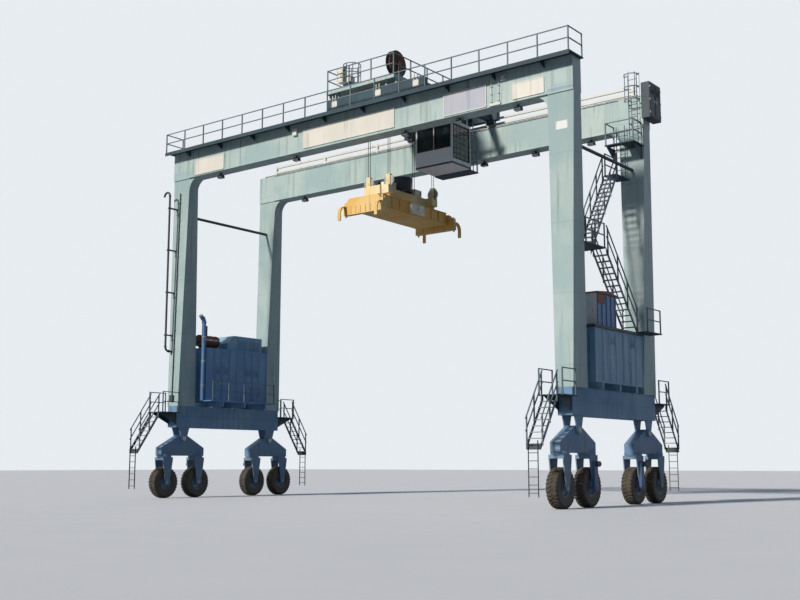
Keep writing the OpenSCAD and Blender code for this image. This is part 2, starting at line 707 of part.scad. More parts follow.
// The cabinet on the roof of the electrical house, with its own overhanging roof
cabinet_y = [-1850, -150];
cabinet_w = 800;
cabinet_h = 1350;
module roof_cabinet() {
    x = ehouse_x + ehouse_w / 2 - cabinet_w / 2 - 60;
    color(white) block([x - cabinet_w / 2, cabinet_y[0], roof_z], [x + cabinet_w / 2, cabinet_y[1], roof_z + cabinet_h]);
    color(rust) slab_yz(x - cabinet_w / 2 - 70, x + cabinet_w / 2 + 70) polygon([
        [cabinet_y[0] - 80, roof_z + cabinet_h], [cabinet_y[1] + 80, roof_z + cabinet_h],
        [cabinet_y[1] + 80, roof_z + cabinet_h + 60], [(cabinet_y[0] + cabinet_y[1]) / 2, roof_z + cabinet_h + 150],
        [cabinet_y[0] - 80, roof_z + cabinet_h + 60]]);
}

// The power house of the left side frame, with the walkway on its inner side
powerhouse_roof = sill_top + skid_h + powerhouse_h;
inner_walk_w = 650;
inner_walk_x = powerhouse_x - powerhouse_w / 2 - inner_walk_w;
inner_walk_z = sill_top + skid_h + deck_t;
module power_house() {
    color(blue) mirror([1, 0, 0]) {
        house(powerhouse_x, powerhouse_l / 2, powerhouse_w, sill_top + skid_h, powerhouse_h, 8);
        for (y = powerhouse_l / 2 * skid_places)
            block([inner_walk_x, y - 60, sill_top], [powerhouse_x - powerhouse_w / 2, y + 60, sill_top + skid_h]);
        block([inner_walk_x, -powerhouse_l / 2 - 150, sill_top + skid_h],
            [powerhouse_x - powerhouse_w / 2 - rib_out - 5, powerhouse_l / 2 + 150, inner_walk_z]);
    }
}

plenum_y = [-500, 2150];
module air_plenum() {
    h = 850;
    w = 1350;
    color([0.42, 0.60, 0.72]) mirror([1, 0, 0]) slab_yz(powerhouse_x - w / 2, powerhouse_x + w / 2) polygon([
        [plenum_y[0], powerhouse_roof], [plenum_y[1], powerhouse_roof], [plenum_y[1], powerhouse_roof + h],
        [plenum_y[0] + 500, powerhouse_roof + h], [plenum_y[0], powerhouse_roof + h - 450]]);
}

// The silencer lying on the power house roof, and the bent duct beside the front leg
silencer_d = 640;
duct_d = 220;
module exhaust() {
    z = powerhouse_roof + silencer_d / 2 + 130;
    duct_y = -powerhouse_l / 2 - duct_d / 2 - fit;
    duct_x = powerhouse_x - powerhouse_w / 2 + duct_d / 2;
    bend_z = 9300;
    bend_r = 260;
    bend_a = 50;
    gap = leg_inner_y(bend_z) + duct_y - fit;
    color(rust) mirror([1, 0, 0]) translate([powerhouse_x, 0, 0]) {
        translate([0, -2050, z]) rotate([-90, 0, 0]) cylinder(d = silencer_d, h = 1300, $fn = 64);
        for (y = [-1800, -1050]) block([-200, y - 30, powerhouse_roof], [200, y + 30, z - silencer_d / 2 + 40]);
        translate([0, -1500, z + silencer_d / 2 - 20]) cylinder(d = 160, h = 520, $fn = 32);
    }
    color(blue) mirror([1, 0, 0]) translate([duct_x, duct_y, 0]) {
        translate([0, 0, inner_walk_z]) cylinder(d = duct_d, h = bend_z - inner_walk_z, $fn = 48);
        translate([0, -bend_r, bend_z]) rotate([90, 0, 90])
            rotate_extrude(angle = bend_a, $fn = 96) translate([bend_r, 0]) circle(d = duct_d, $fn = 48);
        translate([0, 0, bend_z - 12]) cylinder(d = duct_d + 50, h = 24, $fn = 48);
        translate([0, -bend_r * (1 - cos(bend_a)), bend_z + bend_r * sin(bend_a)]) rotate([bend_a, 0, 0]) {
            cylinder(d = duct_d, h = (gap - bend_r * (1 - cos(bend_a)) - duct_d / 2 * cos(bend_a)) / sin(bend_a), $fn = 48);
            translate([0, 0, -12]) cylinder(d = duct_d + 50, h = 24, $fn = 48);
        }
    }
}

// The pipe up the front of the front left leg: a goose-neck at the top, a flanged elbow into the leg
// at the foot, and clamps on brackets
pipe_d = 110;
pipe_top = 16100;
pipe_low = 7900;
pipe_bend = 220;
pipe_pitch = 2300;
pipe_flange_d = pipe_d + 50;
pipe_flange_t = 24;
clamp_h = 60;
clamp_lip = 12;
bracket_w = 120;
pipe_in = 315;
pipe_x = leg_x + pipe_in;
pipe_out = 400;
pipe_y = -leg_outer_y(pipe_low) - pipe_out;
module leg_pipe() {
    end_z = pipe_low - pipe_bend;
    run = -leg_outer_y(end_z - pipe_d / 2) - fit - pipe_y - pipe_bend;
    color(dark) mirror([1, 0, 0]) {
        translate([pipe_x, pipe_y, pipe_low]) cylinder(d = pipe_d, h = pipe_top - pipe_low, $fn = 48);
        translate([pipe_x + pipe_bend, pipe_y, pipe_top]) rotate([90, 0, 0])
            rotate_extrude(angle = 180, $fn = 96) translate([pipe_bend, 0]) circle(d = pipe_d, $fn = 48);
        for (z = [pipe_top - pipe_flange_t / 2, pipe_low - pipe_flange_t / 2])
            translate([pipe_x, pipe_y, z]) cylinder(d = pipe_flange_d, h = pipe_flange_t, $fn = 48);
        translate([pipe_x, pipe_y + pipe_bend, pipe_low]) rotate([90, 0, 90]) rotate([0, 0, 180])
            rotate_extrude(angle = 90, $fn = 96) translate([pipe_bend, 0]) circle(d = pipe_d, $fn = 48);
        translate([pipe_x, pipe_y + pipe_bend, end_z]) rotate([-90, 0, 0]) {
            cylinder(d = pipe_d, h = run, $fn = 48);
            translate([0, 0, -pipe_flange_t / 2]) cylinder(d = pipe_flange_d, h = pipe_flange_t, $fn = 48);
        }
        for (z = [pipe_low + 600 : pipe_pitch : pipe_top - 200]) {
            block([pipe_x - bracket_w / 2, pipe_y + pipe_d / 2, z], [pipe_x + bracket_w / 2, -leg_outer_y(z) - fit, z + clamp_h]);
            translate([pipe_x, pipe_y, z - clamp_lip])
                cylinder(d = pipe_flange_d, h = clamp_h + 2 * clamp_lip, $fn = 48);
        }
    }
}

// The trolley: two end carriages with wheel pockets, cross beams, cabin hangers and a raised deck
tx = trolley_x;
frame_bottom = rail_top + trolley_wheel_d * 0.62;
frame_top = frame_bottom + 480;
deck_top = frame_top + deck_lift;
carriage_w = 300;
carriage_y = rail_y;
wheel_xs = [tx - trolley_left + 450, tx + trolley_right - 450];
trolley_axle_d = 100;
axle_height = rail_top + trolley_wheel_d / 2 + fit;
cross_xs = [[-1700, 400], [1300, 400], [3150, 300]];
rope_y = 1800;
motor_y = -650;
rope_xs = [-680, -560, 560, 680];
deck_y = rail_y + carriage_w / 2 + 130;
deck_right = 2150;
module trolley_frame() {
    x0 = tx - trolley_left;
    x1 = tx + trolley_right;
    color(pale) {
        for (s = [-1, 1]) end_carriage(s, x0, x1);
        for (c = cross_xs) block([tx + c[0], -carriage_y + carriage_w / 2, frame_bottom],
            [tx + c[0] + c[1], carriage_y - carriage_w / 2, frame_top]);
        for (y = [-rope_y, motor_y, rope_y]) block([tx - 1300, y - 100, frame_top - 300], [tx + 1300, y + 100, frame_top]);
        for (y = [-cabin_w / 2 + 130, cabin_w / 2 - 130]) {
            block([tx + 1300, cabin_y + y - 60, frame_bottom - 200], [x1, cabin_y + y + 60, frame_bottom]);
            for (x = [cabin_x0 + 100, cabin_x0 + cabin_l - 220])
                block([x, cabin_y + y - 60, cabin_floor_z + cabin_h + fit], [x + 120, cabin_y + y + 60, frame_bottom - 200]);
        }
        trolley_deck(x0);
    }
}

module end_carriage(s, x0, x1) {
    pocket = 150;
    cheek = 230;
    difference() {
        union() {
            block([x0, s * carriage_y - carriage_w / 2, frame_bottom], [x1, s * carriage_y + carriage_w / 2, frame_top]);
            for (x = wheel_xs) block([x - cheek, s * carriage_y - carriage_w / 2, axle_height - 110],
                [x + cheek, s * carriage_y + carriage_w / 2, frame_bottom]);
        }
        for (x = wheel_xs) {
            block([x - trolley_wheel_d / 2 - 60, s * carriage_y - pocket / 2, rail_top],
                [x + trolley_wheel_d / 2 + 60, s * carriage_y + pocket / 2, rail_top + trolley_wheel_d + 60]);
            translate([x, s * carriage_y, axle_height]) rotate([90, 0, 0])
                cylinder(d = trolley_axle_d + 2 * fit, h = 2 * carriage_w, center = true, $fn = 48);
        }
    }
}

// The raised deck round the open well of the hoist, on stub posts
well = [1350, 2150];
module trolley_deck(x0) {
    edge = 200;
    xs = [x0 + 60, tx - 1500, tx + 1500, tx + deck_right - 60];
    difference() {
        block([x0, -deck_y, deck_top - edge], [tx + deck_right, deck_y, deck_top]);
        block([x0 + 40, -deck_y + 40, deck_top - edge - 1], [tx + deck_right - 40, deck_y - 40, deck_top - deck_t]);
        block([tx - well[0], -well[1], deck_top - edge - 1], [tx + well[0], well[1], deck_top + 1]);
    }
    for (x = xs, s = [-1, 1])
        block([x - 50, s * carriage_y - 50, frame_top], [x + 50, s * carriage_y + 50, deck_top - deck_t]);
    for (x = [xs[1], xs[2]], s = [-1, 1])
        block([x - 50, s * (well[1] + 100) - 50, frame_top], [x + 50, s * (well[1] + 100) + 50, deck_top - deck_t]);
}

// The four trolley wheels, flanged on both sides, with their axles
module trolley_wheels() {
    tread = rail_head_w + 20;
    flange = 22;
    color(steel) for (x = wheel_xs, s = [-1, 1]) translate([x, s * carriage_y, axle_height]) rotate([90, 0, 0]) {
        cylinder(d = trolley_wheel_d, h = tread, center = true, $fn = 64);
        for (m = [-1, 1]) translate([0, 0, m * (tread + flange) / 2])
            cylinder(d = trolley_wheel_d + 50, h = flange, center = true, $fn = 64);
        cylinder(d = trolley_axle_d, h = carriage_w - 2 * fit, center = true, $fn = 48);
    }
}

// The hoist: a grooved drum between two bearings, gearbox and motor, and the cable reel
drum_d = 820;
drum_gap = 400;
drum_l = 2 * (rope_y - drum_gap);
drum_lift = 620;
module hoist_machinery() {
    z = frame_top + drum_lift;
    x = tx - 350;
    color(steel) translate([x, 0, z]) rotate([90, 0, 0]) rotate_extrude($fn = 64) drum_profile();
    color(blue) {
        for (s = [-1, 1]) slab_xz(s * rope_y - 80, s * rope_y + 80)
            polygon([[x - 330, frame_top], [x + 330, frame_top], [x + 150, z + 160], [x - 150, z + 160]]);
        block([tx + 250, rope_y - 700, frame_top], [tx + 1150, rope_y + 60, frame_top + 1050]);
    }
    color(dark) {
        translate([tx + 700, motor_y - 250, frame_top + 560]) rotate([-90, 0, 0])
            cylinder(d = 520, h = rope_y - 700 - motor_y + 250, $fn = 48);
        block([tx + 450, motor_y - 90, frame_top], [tx + 950, motor_y + 90, frame_top + 400]);
    }
    cable_reel();
}

// The drum in section: shaft, end flanges and rope grooves
module drum_profile() {
    pitch = 80;
    grooves = floor((drum_l - 120) / pitch);
    flange_r = drum_d / 2 + 60;
    half = drum_l / 2;
    shaft = rope_y - 80;
    polygon(concat([[0, -shaft], [70, -shaft], [70, -half], [flange_r, -half], [flange_r, -half + 40]],
        [for (i = [0 : grooves - 1]) let (y = -half + 60 + i * pitch)
            each [[drum_d / 2, y], [drum_d / 2 - 18, y + pitch / 2]]],
        [[drum_d / 2, half - 50], [flange_r, half - 40], [flange_r, half], [70, half], [70, shaft], [0, shaft]]));
}

reel_d = 1300;
module cable_reel() {
    y = -deck_y + 2 * tube_d + 50 + reel_d / 2;
    z = deck_top + reel_d / 2 + 120;
    x = tx + 1650;
    color(rust) {
        for (s = [-1, 1]) translate([x + s * 110, y, z]) rotate([0, 90, 0]) cylinder(d = reel_d, h = 24, center = true, $fn = 64);
        translate([x, y, z]) rotate([0, 90, 0]) cylinder(d = 620, h = 230, center = true, $fn = 48);
        translate([x, y, z]) rotate([0, 90, 0]) cylinder(d = 90, h = 560, center = true, $fn = 32);
        for (s = [-1, 1]) slab_yz(x + s * 250 - 25, x + s * 250 + 25)
            polygon([[y - 220, deck_top], [y + 220, deck_top], [y + 70, z + 70], [y - 70, z + 70]]);
    }
}

// Railings of the trolley deck, the round lookout and the platform beside the cabin
lookout_x = -880;
lookout_r = 450;
module trolley_railing() {
    x0 = tx - trolley_left + tube_d;
    x1 = tx + deck_right - tube_d;
    y = deck_y - tube_d;
    color(steel) {
        for (s = [-1, 1]) railing([x0, s * y, deck_top], [x1, s * y, deck_top]);
        for (x = [x0, x1]) railing([x, -y, deck_top], [x, y, deck_top], first = false, last = false);
        lookout();
        cabin_platform();
    }
}

module lookout() {
    lift = 180;
    translate([tx + lookout_x, -rail_y + 250, deck_top]) {
        cylinder(r = lookout_r * 0.6, h = lift, $fn = 48);
        translate([0, 0, lift]) cylinder(r = lookout_r, h = 40, $fn = 48);
        for (z = [lift + 560, lift + rail_h - 40]) translate([0, 0, z]) difference() {
            cylinder(r = lookout_r - 8, h = 40, $fn = 48);
            translate([0, 0, -1]) cylinder(r = lookout_r - 32, h = 42, $fn = 48);
        }
        for (a = [0 : 45 : 315]) rotate([0, 0, a]) translate([lookout_r - 38, -18, lift + 39]) cube([36, 36, rail_h - 39]);
        translate([-220, -160, lift + 40]) cube([260, 320, 420]);
    }
}

cabin_x0 = tx + trolley_right - cabin_l;
cabin_y = -225;
cabin_side_w = 700;
module cabin_platform() {
    y0 = cabin_y + cabin_w / 2 + fit;
    y1 = y0 + cabin_side_w;
    x1 = cabin_x0 + cabin_l;
    z = cabin_floor_z;
    block([cabin_x0, y0, z - deck_t], [x1, y1, z]);
    railing([cabin_x0 + tube_d, y1 - tube_d, z], [x1 - tube_d, y1 - tube_d, z]);
    for (x = [cabin_x0 + tube_d, x1 - tube_d]) railing([x, y0 + 60, z], [x, y1 - tube_d, z], last = false);
    for (m = [-1, 1]) block([x1 - 500 + m * 210 - 8, y1 - 60, z], [x1 - 500 + m * 210 + 8, y1, frame_bottom]);
    for (i = [0 : 9]) translate([x1 - 710, y1 - 30, z + 150 + i * 300]) rotate([0, 90, 0]) cylinder(d = 30, h = 420, $fn = 4);
}

// The cabin: a floor, a roof, four walls with window openings, and a door leaf on the platform side
win_sill = 320;
win_low = 850;
win_top = 1950;
win_side = 130;
door_t = 30;
door_x = [1350, 2010];
module cabin() {
    a = [cabin_x0, cabin_y - cabin_w / 2, cabin_floor_z];
    b = [cabin_x0 + cabin_l, cabin_y + cabin_w / 2, cabin_floor_z + cabin_h];
    t = [cabin_t, cabin_t, cabin_t];
    color(white) difference() {
        union() {
            block(a, b);
            block([a[0] + door_x[0], b[1] - 1, a[2] + 60], [a[0] + door_x[1], b[1] + door_t, a[2] + win_top + 60]);
        }
        block(a + t, b - t);
        windows(-door_t - 1, cabin_t + 1);
    }
}

// The cabin windows as blocks between two depths below the outer faces
module windows(d0, d1) {
    half_l = cabin_l / 2;
    half_w = cabin_w / 2;
    pane_l = (cabin_l - 3 * win_side) / 2;
    translate([cabin_x0 + half_l, cabin_y, cabin_floor_z]) {
        for (m = [0, 1]) mirror([m, 0, 0])
            block([half_l - d1, win_side - half_w, win_sill], [half_l - d0, half_w - win_side, win_top]);
        for (m = [0, 1]) mirror([m, 0, 0])
            block([win_side / 2, d0 - half_w, win_low], [win_side / 2 + pane_l, d1 - half_w, win_top]);
        block([-win_side / 2 - pane_l, half_w - d1, win_low], [-win_side / 2, half_w - d0, win_top]);
        block([door_x[0] + win_side - half_l, half_w - d1, win_low],
            [door_x[1] - win_side - half_l, half_w - d0, win_top - win_side]);
    }
}

module cabin_glass() {
    color(glass) windows(20, 32);
}

// The hoist: ropes from the trolley to the sheave blocks of the headblock
frame_z = spreader_z + 250;
block_z = frame_z + spreader_frame_h + 230;
block_h = 420;
sheave_d = 620;
sheave_x = (rope_xs[2] + rope_xs[3]) / 2;
sheave_z = block_z + block_h + 200;
housing_top = sheave_z + 330;
module hoist_ropes() {
    color(dark) for (x = rope_xs, s = [-1, 1])
        translate([tx + x, s * rope_y, housing_top + fit])
            cylinder(d = rope_d, h = frame_top - 300 - housing_top - 2 * fit, $fn = 12);
}

// The headblock: a long box with two cross heads that carry the sheaves
module headblock() {
    cross = 420;
    color(yellow) {
        block([tx - 300, -headblock_l / 2, block_z], [tx + 300, headblock_l / 2, block_z + block_h]);
        for (s = [-1, 1]) {
            block([tx - headblock_w / 2, s * rope_y - cross / 2, block_z],
                [tx + headblock_w / 2, s * rope_y + cross / 2, block_z + block_h]);
            for (m = [-1, 1]) translate([tx + m * sheave_x, s * rope_y, 0]) sheave_block();
        }
        for (s = [-1, 1], m = [-1, 1]) translate([tx + m * sheave_x, s * rope_y, frame_z + spreader_frame_h])
            cylinder(d = 150, h = block_z - frame_z - spreader_frame_h, $fn = 48);
    }
}

module sheave_block() {
    for (m = [-1, 1]) slab_xz(m * 75 - 15, m * 75 + 15)
        polygon([[-125, block_z + block_h], [125, block_z + block_h], [125, housing_top], [-125, housing_top]]);
    block([-125, -90, housing_top - 40], [125, 90, housing_top]);
    translate([0, 0, sheave_z]) rotate([90, 0, 0]) {
        cylinder(d = sheave_d * 0.62, h = 90, center = true, $fn = 48);
        cylinder(d = 110, h = 220, center = true, $fn = 32);
    }
}

// The spreader frame: a long box with four open channels for the telescopic beams
end_reach = spreader_frame_l / 2 + end_gap + end_t;
beam_w = 290;
beam_h = 380;
channel_xs = [-3, -1, 1, 3];
channel_pitch = spreader_frame_w / 8 - 12;
module spreader_frame() {
    color(yellow) difference() {
        block([tx - spreader_frame_w / 2, -spreader_frame_l / 2, frame_z],
            [tx + spreader_frame_w / 2, spreader_frame_l / 2, frame_z + spreader_frame_h]);
        for (k = channel_xs) let (x = tx + k * channel_pitch, g = slide_gap)
            block([x - beam_w / 2 - g, -spreader_frame_l, frame_z + (spreader_frame_h - beam_h) / 2 - fit],
                [x + beam_w / 2 + g, spreader_frame_l, frame_z + (spreader_frame_h + beam_h) / 2 + g]);
    }
}

// A telescopic end: two beams, the end beam, twistlocks and the four curved corner guides
module spreader_end(s) {
    tail = 1450;
    y = end_reach - end_t;
    top = frame_z + (spreader_frame_h + beam_h) / 2;
    color(yellow) translate([tx, 0, 0]) rotate([0, 0, s > 0 ? 180 : 0]) {
        for (k = [-3, 1]) let (x = k * channel_pitch)
            block([x - beam_w / 2, -y, top - beam_h], [x + beam_w / 2, tail, top]);
        slab_xz(-end_reach, -y) polygon([[-end_beam_w / 2, spreader_z], [end_beam_w / 2, spreader_z],
            [end_beam_w / 2, spreader_z + 420], [spreader_frame_w / 2, top + 60], [-spreader_frame_w / 2, top + 60],
            [-end_beam_w / 2, spreader_z + 420]]);
        for (m = [-1, 1]) {
            translate([m * (end_beam_w / 2 - 90), -end_reach + 90, spreader_z - 90]) cylinder(d = 60, h = 90, $fn = 32);
            translate([m * (end_beam_w / 2 - 90), 0, 0]) corner_guide();
        }
    }
}

module corner_guide() {
    r = 400;
    w = 170;
    slab_yz(-w / 2, w / 2) translate([-end_reach - 40, spreader_z + 40]) {
        difference() {
            intersection() {
                circle(r = r, $fn = 64);
                translate([-r, 0]) square([r + 40, r]);
            }
            circle(r = r - 60, $fn = 64);
        }
        translate([-r, -360]) square([60, 361]);
        translate([0, r - 60]) square([60, 60]);
        translate([40, 0]) square([20, r]);
    }
}

girder(-1);  // girder_front
girder(1);  // girder_rear
trolley_rails();
leg(1, -1);  // leg_front_right
leg(-1, -1);  // leg_front_left
leg(1, 1);  // leg_rear_right
leg(-1, 1);  // leg_rear_left
sill(1);  // sill_right
sill(-1);  // sill_left
bogie_pins();
leg_ties();
walkway();
walkway_railing();
girder_boards();
festoon_track();
floodlights();
end_cabinet();
stair_flights();
stair_landings();
access_railings();
caged_ladder();
end_platforms();
electrical_house();
roof_cabinet();
power_house();
air_plenum();
exhaust();
leg_pipe();
bogie(1, -1);  // bogie_front_right
bogie(-1, -1);  // bogie_front_left
bogie(1, 1);  // bogie_rear_right
bogie(-1, 1);  // bogie_rear_left
fork(0);  // fork_1
fork(1);  // fork_2
fork(2);  // fork_3
fork(3);  // fork_4
fork(4);  // fork_5
fork(5);  // fork_6
fork(6);  // fork_7
fork(7);  // fork_8
wheel(0);  // wheel_1
wheel(1);  // wheel_2
wheel(2);  // wheel_3
wheel(3);  // wheel_4
wheel(4);  // wheel_5
wheel(5);  // wheel_6
wheel(6);  // wheel_7
wheel(7);  // wheel_8
trolley_frame();
trolley_wheels();
hoist_machinery();
trolley_railing();
cabin();
cabin_glass();
hoist_ropes();
headblock();
spreader_frame();
spreader_end(-1);  // spreader_end_near
spreader_end(1);  // spreader_end_far
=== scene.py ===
import json
import math

import bmesh
import bpy
from mathutils import Matrix, Vector


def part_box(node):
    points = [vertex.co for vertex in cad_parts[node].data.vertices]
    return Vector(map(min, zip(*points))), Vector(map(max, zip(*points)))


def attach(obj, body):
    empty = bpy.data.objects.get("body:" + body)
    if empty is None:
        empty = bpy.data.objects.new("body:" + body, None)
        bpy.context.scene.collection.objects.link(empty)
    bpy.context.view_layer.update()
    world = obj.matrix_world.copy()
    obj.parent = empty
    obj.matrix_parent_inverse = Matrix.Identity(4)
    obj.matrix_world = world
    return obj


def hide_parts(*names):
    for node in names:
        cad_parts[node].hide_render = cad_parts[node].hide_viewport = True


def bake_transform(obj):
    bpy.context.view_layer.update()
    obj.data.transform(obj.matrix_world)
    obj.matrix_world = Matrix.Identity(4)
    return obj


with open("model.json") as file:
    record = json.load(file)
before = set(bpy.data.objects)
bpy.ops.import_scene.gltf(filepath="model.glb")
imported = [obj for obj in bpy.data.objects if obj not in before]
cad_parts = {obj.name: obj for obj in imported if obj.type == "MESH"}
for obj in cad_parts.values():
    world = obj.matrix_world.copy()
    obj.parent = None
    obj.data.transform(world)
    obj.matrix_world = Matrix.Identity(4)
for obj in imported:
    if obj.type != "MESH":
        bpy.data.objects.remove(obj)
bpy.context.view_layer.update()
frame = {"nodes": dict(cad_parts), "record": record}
scene = bpy.context.scene
wheelNames = [f"wheel_{n}" for n in range(1, 9)]

# the camera stands where the photograph was taken from, with a longer lens
cameraSpot = {"at": (33.408, -42.467, 1.711), "aim": (0.5, 0.0, 9.75), "lens": 49.5, "sensor": 36.0,
              "reach": 900}


def setCamera():
    camera = bpy.data.objects.new("camera", bpy.data.cameras.new("camera"))
    scene.collection.objects.link(camera)
    camera.data.lens = cameraSpot["lens"]
    camera.data.sensor_width = cameraSpot["sensor"]
    camera.data.clip_end = cameraSpot["reach"]
    camera.location = cameraSpot["at"]
    sight = Vector(cameraSpot["aim"]) - Vector(cameraSpot["at"])
    camera.rotation_euler = sight.to_track_quat("-Z", "Y").to_euler()
    scene.camera = camera


setCamera()
print("camera set")


# node helpers: a socket takes a value or the output of another node
def feed(tree, socket, value):
    if isinstance(value, bpy.types.NodeSocket):
        tree.links.new(value, socket)
    elif value is not None:
        socket.default_value = value


# sockets are given by name, with _ for a space, or as i0, i1 and so on
def addNode(tree, kind, settings=None, **sockets):
    node = tree.nodes.new(kind)
    for key, value in (settings or {}).items():
        setattr(node, key, value)
    for key, value in sockets.items():
        numbered = key[0] == "i" and key[1:].isdigit()
        feed(tree, node.inputs[int(key[1:]) if numbered else key.replace("_", " ")], value)
    return node


def maths(tree, operation, a, b=None, clamp=False):
    return addNode(tree, "ShaderNodeMath", {"operation": operation, "use_clamp": clamp}, i0=a,
                   i1=b).outputs[0]


def times(tree, a, b):
    return maths(tree, "MULTIPLY", a, b)


def plus(tree, a, b):
    return maths(tree, "ADD", a, b)


def minus(tree, a, b):
    return maths(tree, "SUBTRACT", a, b)


def ramp(tree, value, low, high, start=0.0, end=1.0):
    return addNode(tree, "ShaderNodeMapRange", {"interpolation_type": "SMOOTHSTEP"}, Value=value,
                   From_Min=low,
                   From_Max=high, To_Min=start, To_Max=end).outputs[0]


def noise(tree, vector, scale, detail=2.0, rough=0.5):
    return addNode(tree, "ShaderNodeTexNoise", None, Vector=vector, Scale=scale, Detail=detail,
                   Roughness=rough).outputs["Fac"]


def blendColour(tree, factor, a, b):
    return addNode(tree, "ShaderNodeMix", {"data_type": "RGBA"}, i0=factor, i6=a, i7=b).outputs[2]


def axes(tree, vector):
    return addNode(tree, "ShaderNodeSeparateXYZ", None, Vector=vector).outputs


def roughen(tree, shader, height, strength, distance):
    bump = addNode(tree, "ShaderNodeBump", None, Strength=strength, Distance=distance, Height=height)
    feed(tree, shader.inputs["Normal"], bump.outputs[0])


def newGroup(name, inputs, outputs):
    tree = bpy.data.node_groups.new(name, "ShaderNodeTree")
    for label, kind, value in inputs:
        socket = tree.interface.new_socket(label, in_out="INPUT", socket_type="NodeSocket" + kind)
        if value is not None:
            socket.default_value = value
    for label in outputs:
        tree.interface.new_socket(label, in_out="OUTPUT", socket_type="NodeSocketFloat")
    return tree, tree.nodes.new("NodeGroupInput").outputs, tree.nodes.new("NodeGroupOutput").inputs


# rain streaks, faded patches, rust spots and fine grain of weathered paint
# a pair gives where a mask starts and where it is full
weathering = {"streak": (0.5, 0.72), "streakArea": (0.35, 0.62), "patch": (0.38, 0.66), "rustFrom": 0.86,
              "rustEdge": 0.06, "rustRun": 0.12, "grain": 60.0}


def weatherGroup():
    tree, given, out = newGroup("weather", [
        ("Vector", "Vector", None), ("Streak Width", "Float", 5.0), ("Streak Length", "Float", 0.25),
        ("Patch Size", "Float", 0.5), ("Spot Size", "Float", 5.0), ("Spot Share", "Float", 0.3),
    ], ["Streak", "Patch", "Rust", "Grain"])
    where, width = given["Vector"], given["Streak Width"]
    stretch = addNode(tree, "ShaderNodeCombineXYZ", None, X=width, Y=width,
                      Z=given["Streak Length"]).outputs[0]
    long = addNode(tree, "ShaderNodeVectorMath", {"operation": "MULTIPLY"}, i0=where, i1=stretch).outputs[0]
    thin = noise(tree, long, 1.0, 4.0, 0.6)
    wide = noise(tree, where, given["Patch Size"], 3.0, 0.55)
    area = ramp(tree, wide, *weathering["streakArea"])
    feed(tree, out["Streak"], times(tree, ramp(tree, thin, *weathering["streak"]), area))
    feed(tree, out["Patch"], ramp(tree, wide, *weathering["patch"]))
    spot = noise(tree, where, given["Spot Size"], 7.0, 0.68)
    edge = minus(tree, weathering["rustFrom"], times(tree, given["Spot Share"], 0.5))
    run = plus(tree, spot, times(tree, thin, weathering["rustRun"]))
    feed(tree, out["Rust"], ramp(tree, run, edge, plus(tree, edge, weathering["rustEdge"])))
    feed(tree, out["Grain"], noise(tree, where, weathering["grain"], 3.0, 0.6))
    return tree


# thin lines at a steady pitch along one direction, such as plate seams
def seamGroup():
    tree, given, out = newGroup("seams", [
        ("Along", "Float", 0.0), ("Pitch", "Float", 3.0), ("Shift", "Float", 0.0), ("Width", "Float", 0.02),
    ], ["Line"])
    place = maths(tree, "DIVIDE", plus(tree, given["Along"], given["Shift"]), given["Pitch"])
    part = maths(tree, "ABSOLUTE", minus(tree, maths(tree, "FRACT", place), 0.5))
    gap = times(tree, minus(tree, 0.5, part), given["Pitch"])
    feed(tree, out["Line"], ramp(tree, gap, 0.0, given["Width"], 1.0, 0.0))
    return tree


# dust and splash that thins out with height above the ground
def dustGroup():
    tree, given, out = newGroup("groundDust", [
        ("Vector", "Vector", None), ("Top", "Float", 3.0), ("Amount", "Float", 0.6),
    ], ["Dust"])
    low = ramp(tree, axes(tree, given["Vector"])[2], 0.0, given["Top"], 1.0, 0.0)
    cloud = ramp(tree, noise(tree, given["Vector"], 3.0, 6.0, 0.65), 0.3, 0.65)
    feed(tree, out["Dust"], times(tree, times(tree, low, cloud), given["Amount"]))
    return tree


groups = {"weather": weatherGroup(), "seams": seamGroup(), "dust": dustGroup()}


def useGroup(tree, name, **sockets):
    return addNode(tree, "ShaderNodeGroup", {"node_tree": groups[name]}, **sockets).outputs


def startMaterial(name):
    material = bpy.data.materials.new(name)
    material.use_nodes = True
    tree = material.node_tree
    shader = tree.nodes["Principled BSDF"]
    where = addNode(tree, "ShaderNodeTexCoord").outputs["Object"]
    return material, tree, shader, where


def colour(hexText):
    channels = [int(hexText[i:i + 2], 16) / 255 for i in (0, 2, 4)]
    return (*[c / 12.92 if c <= 0.04045 else ((c + 0.055) / 1.055) ** 2.4 for c in channels], 1.0)


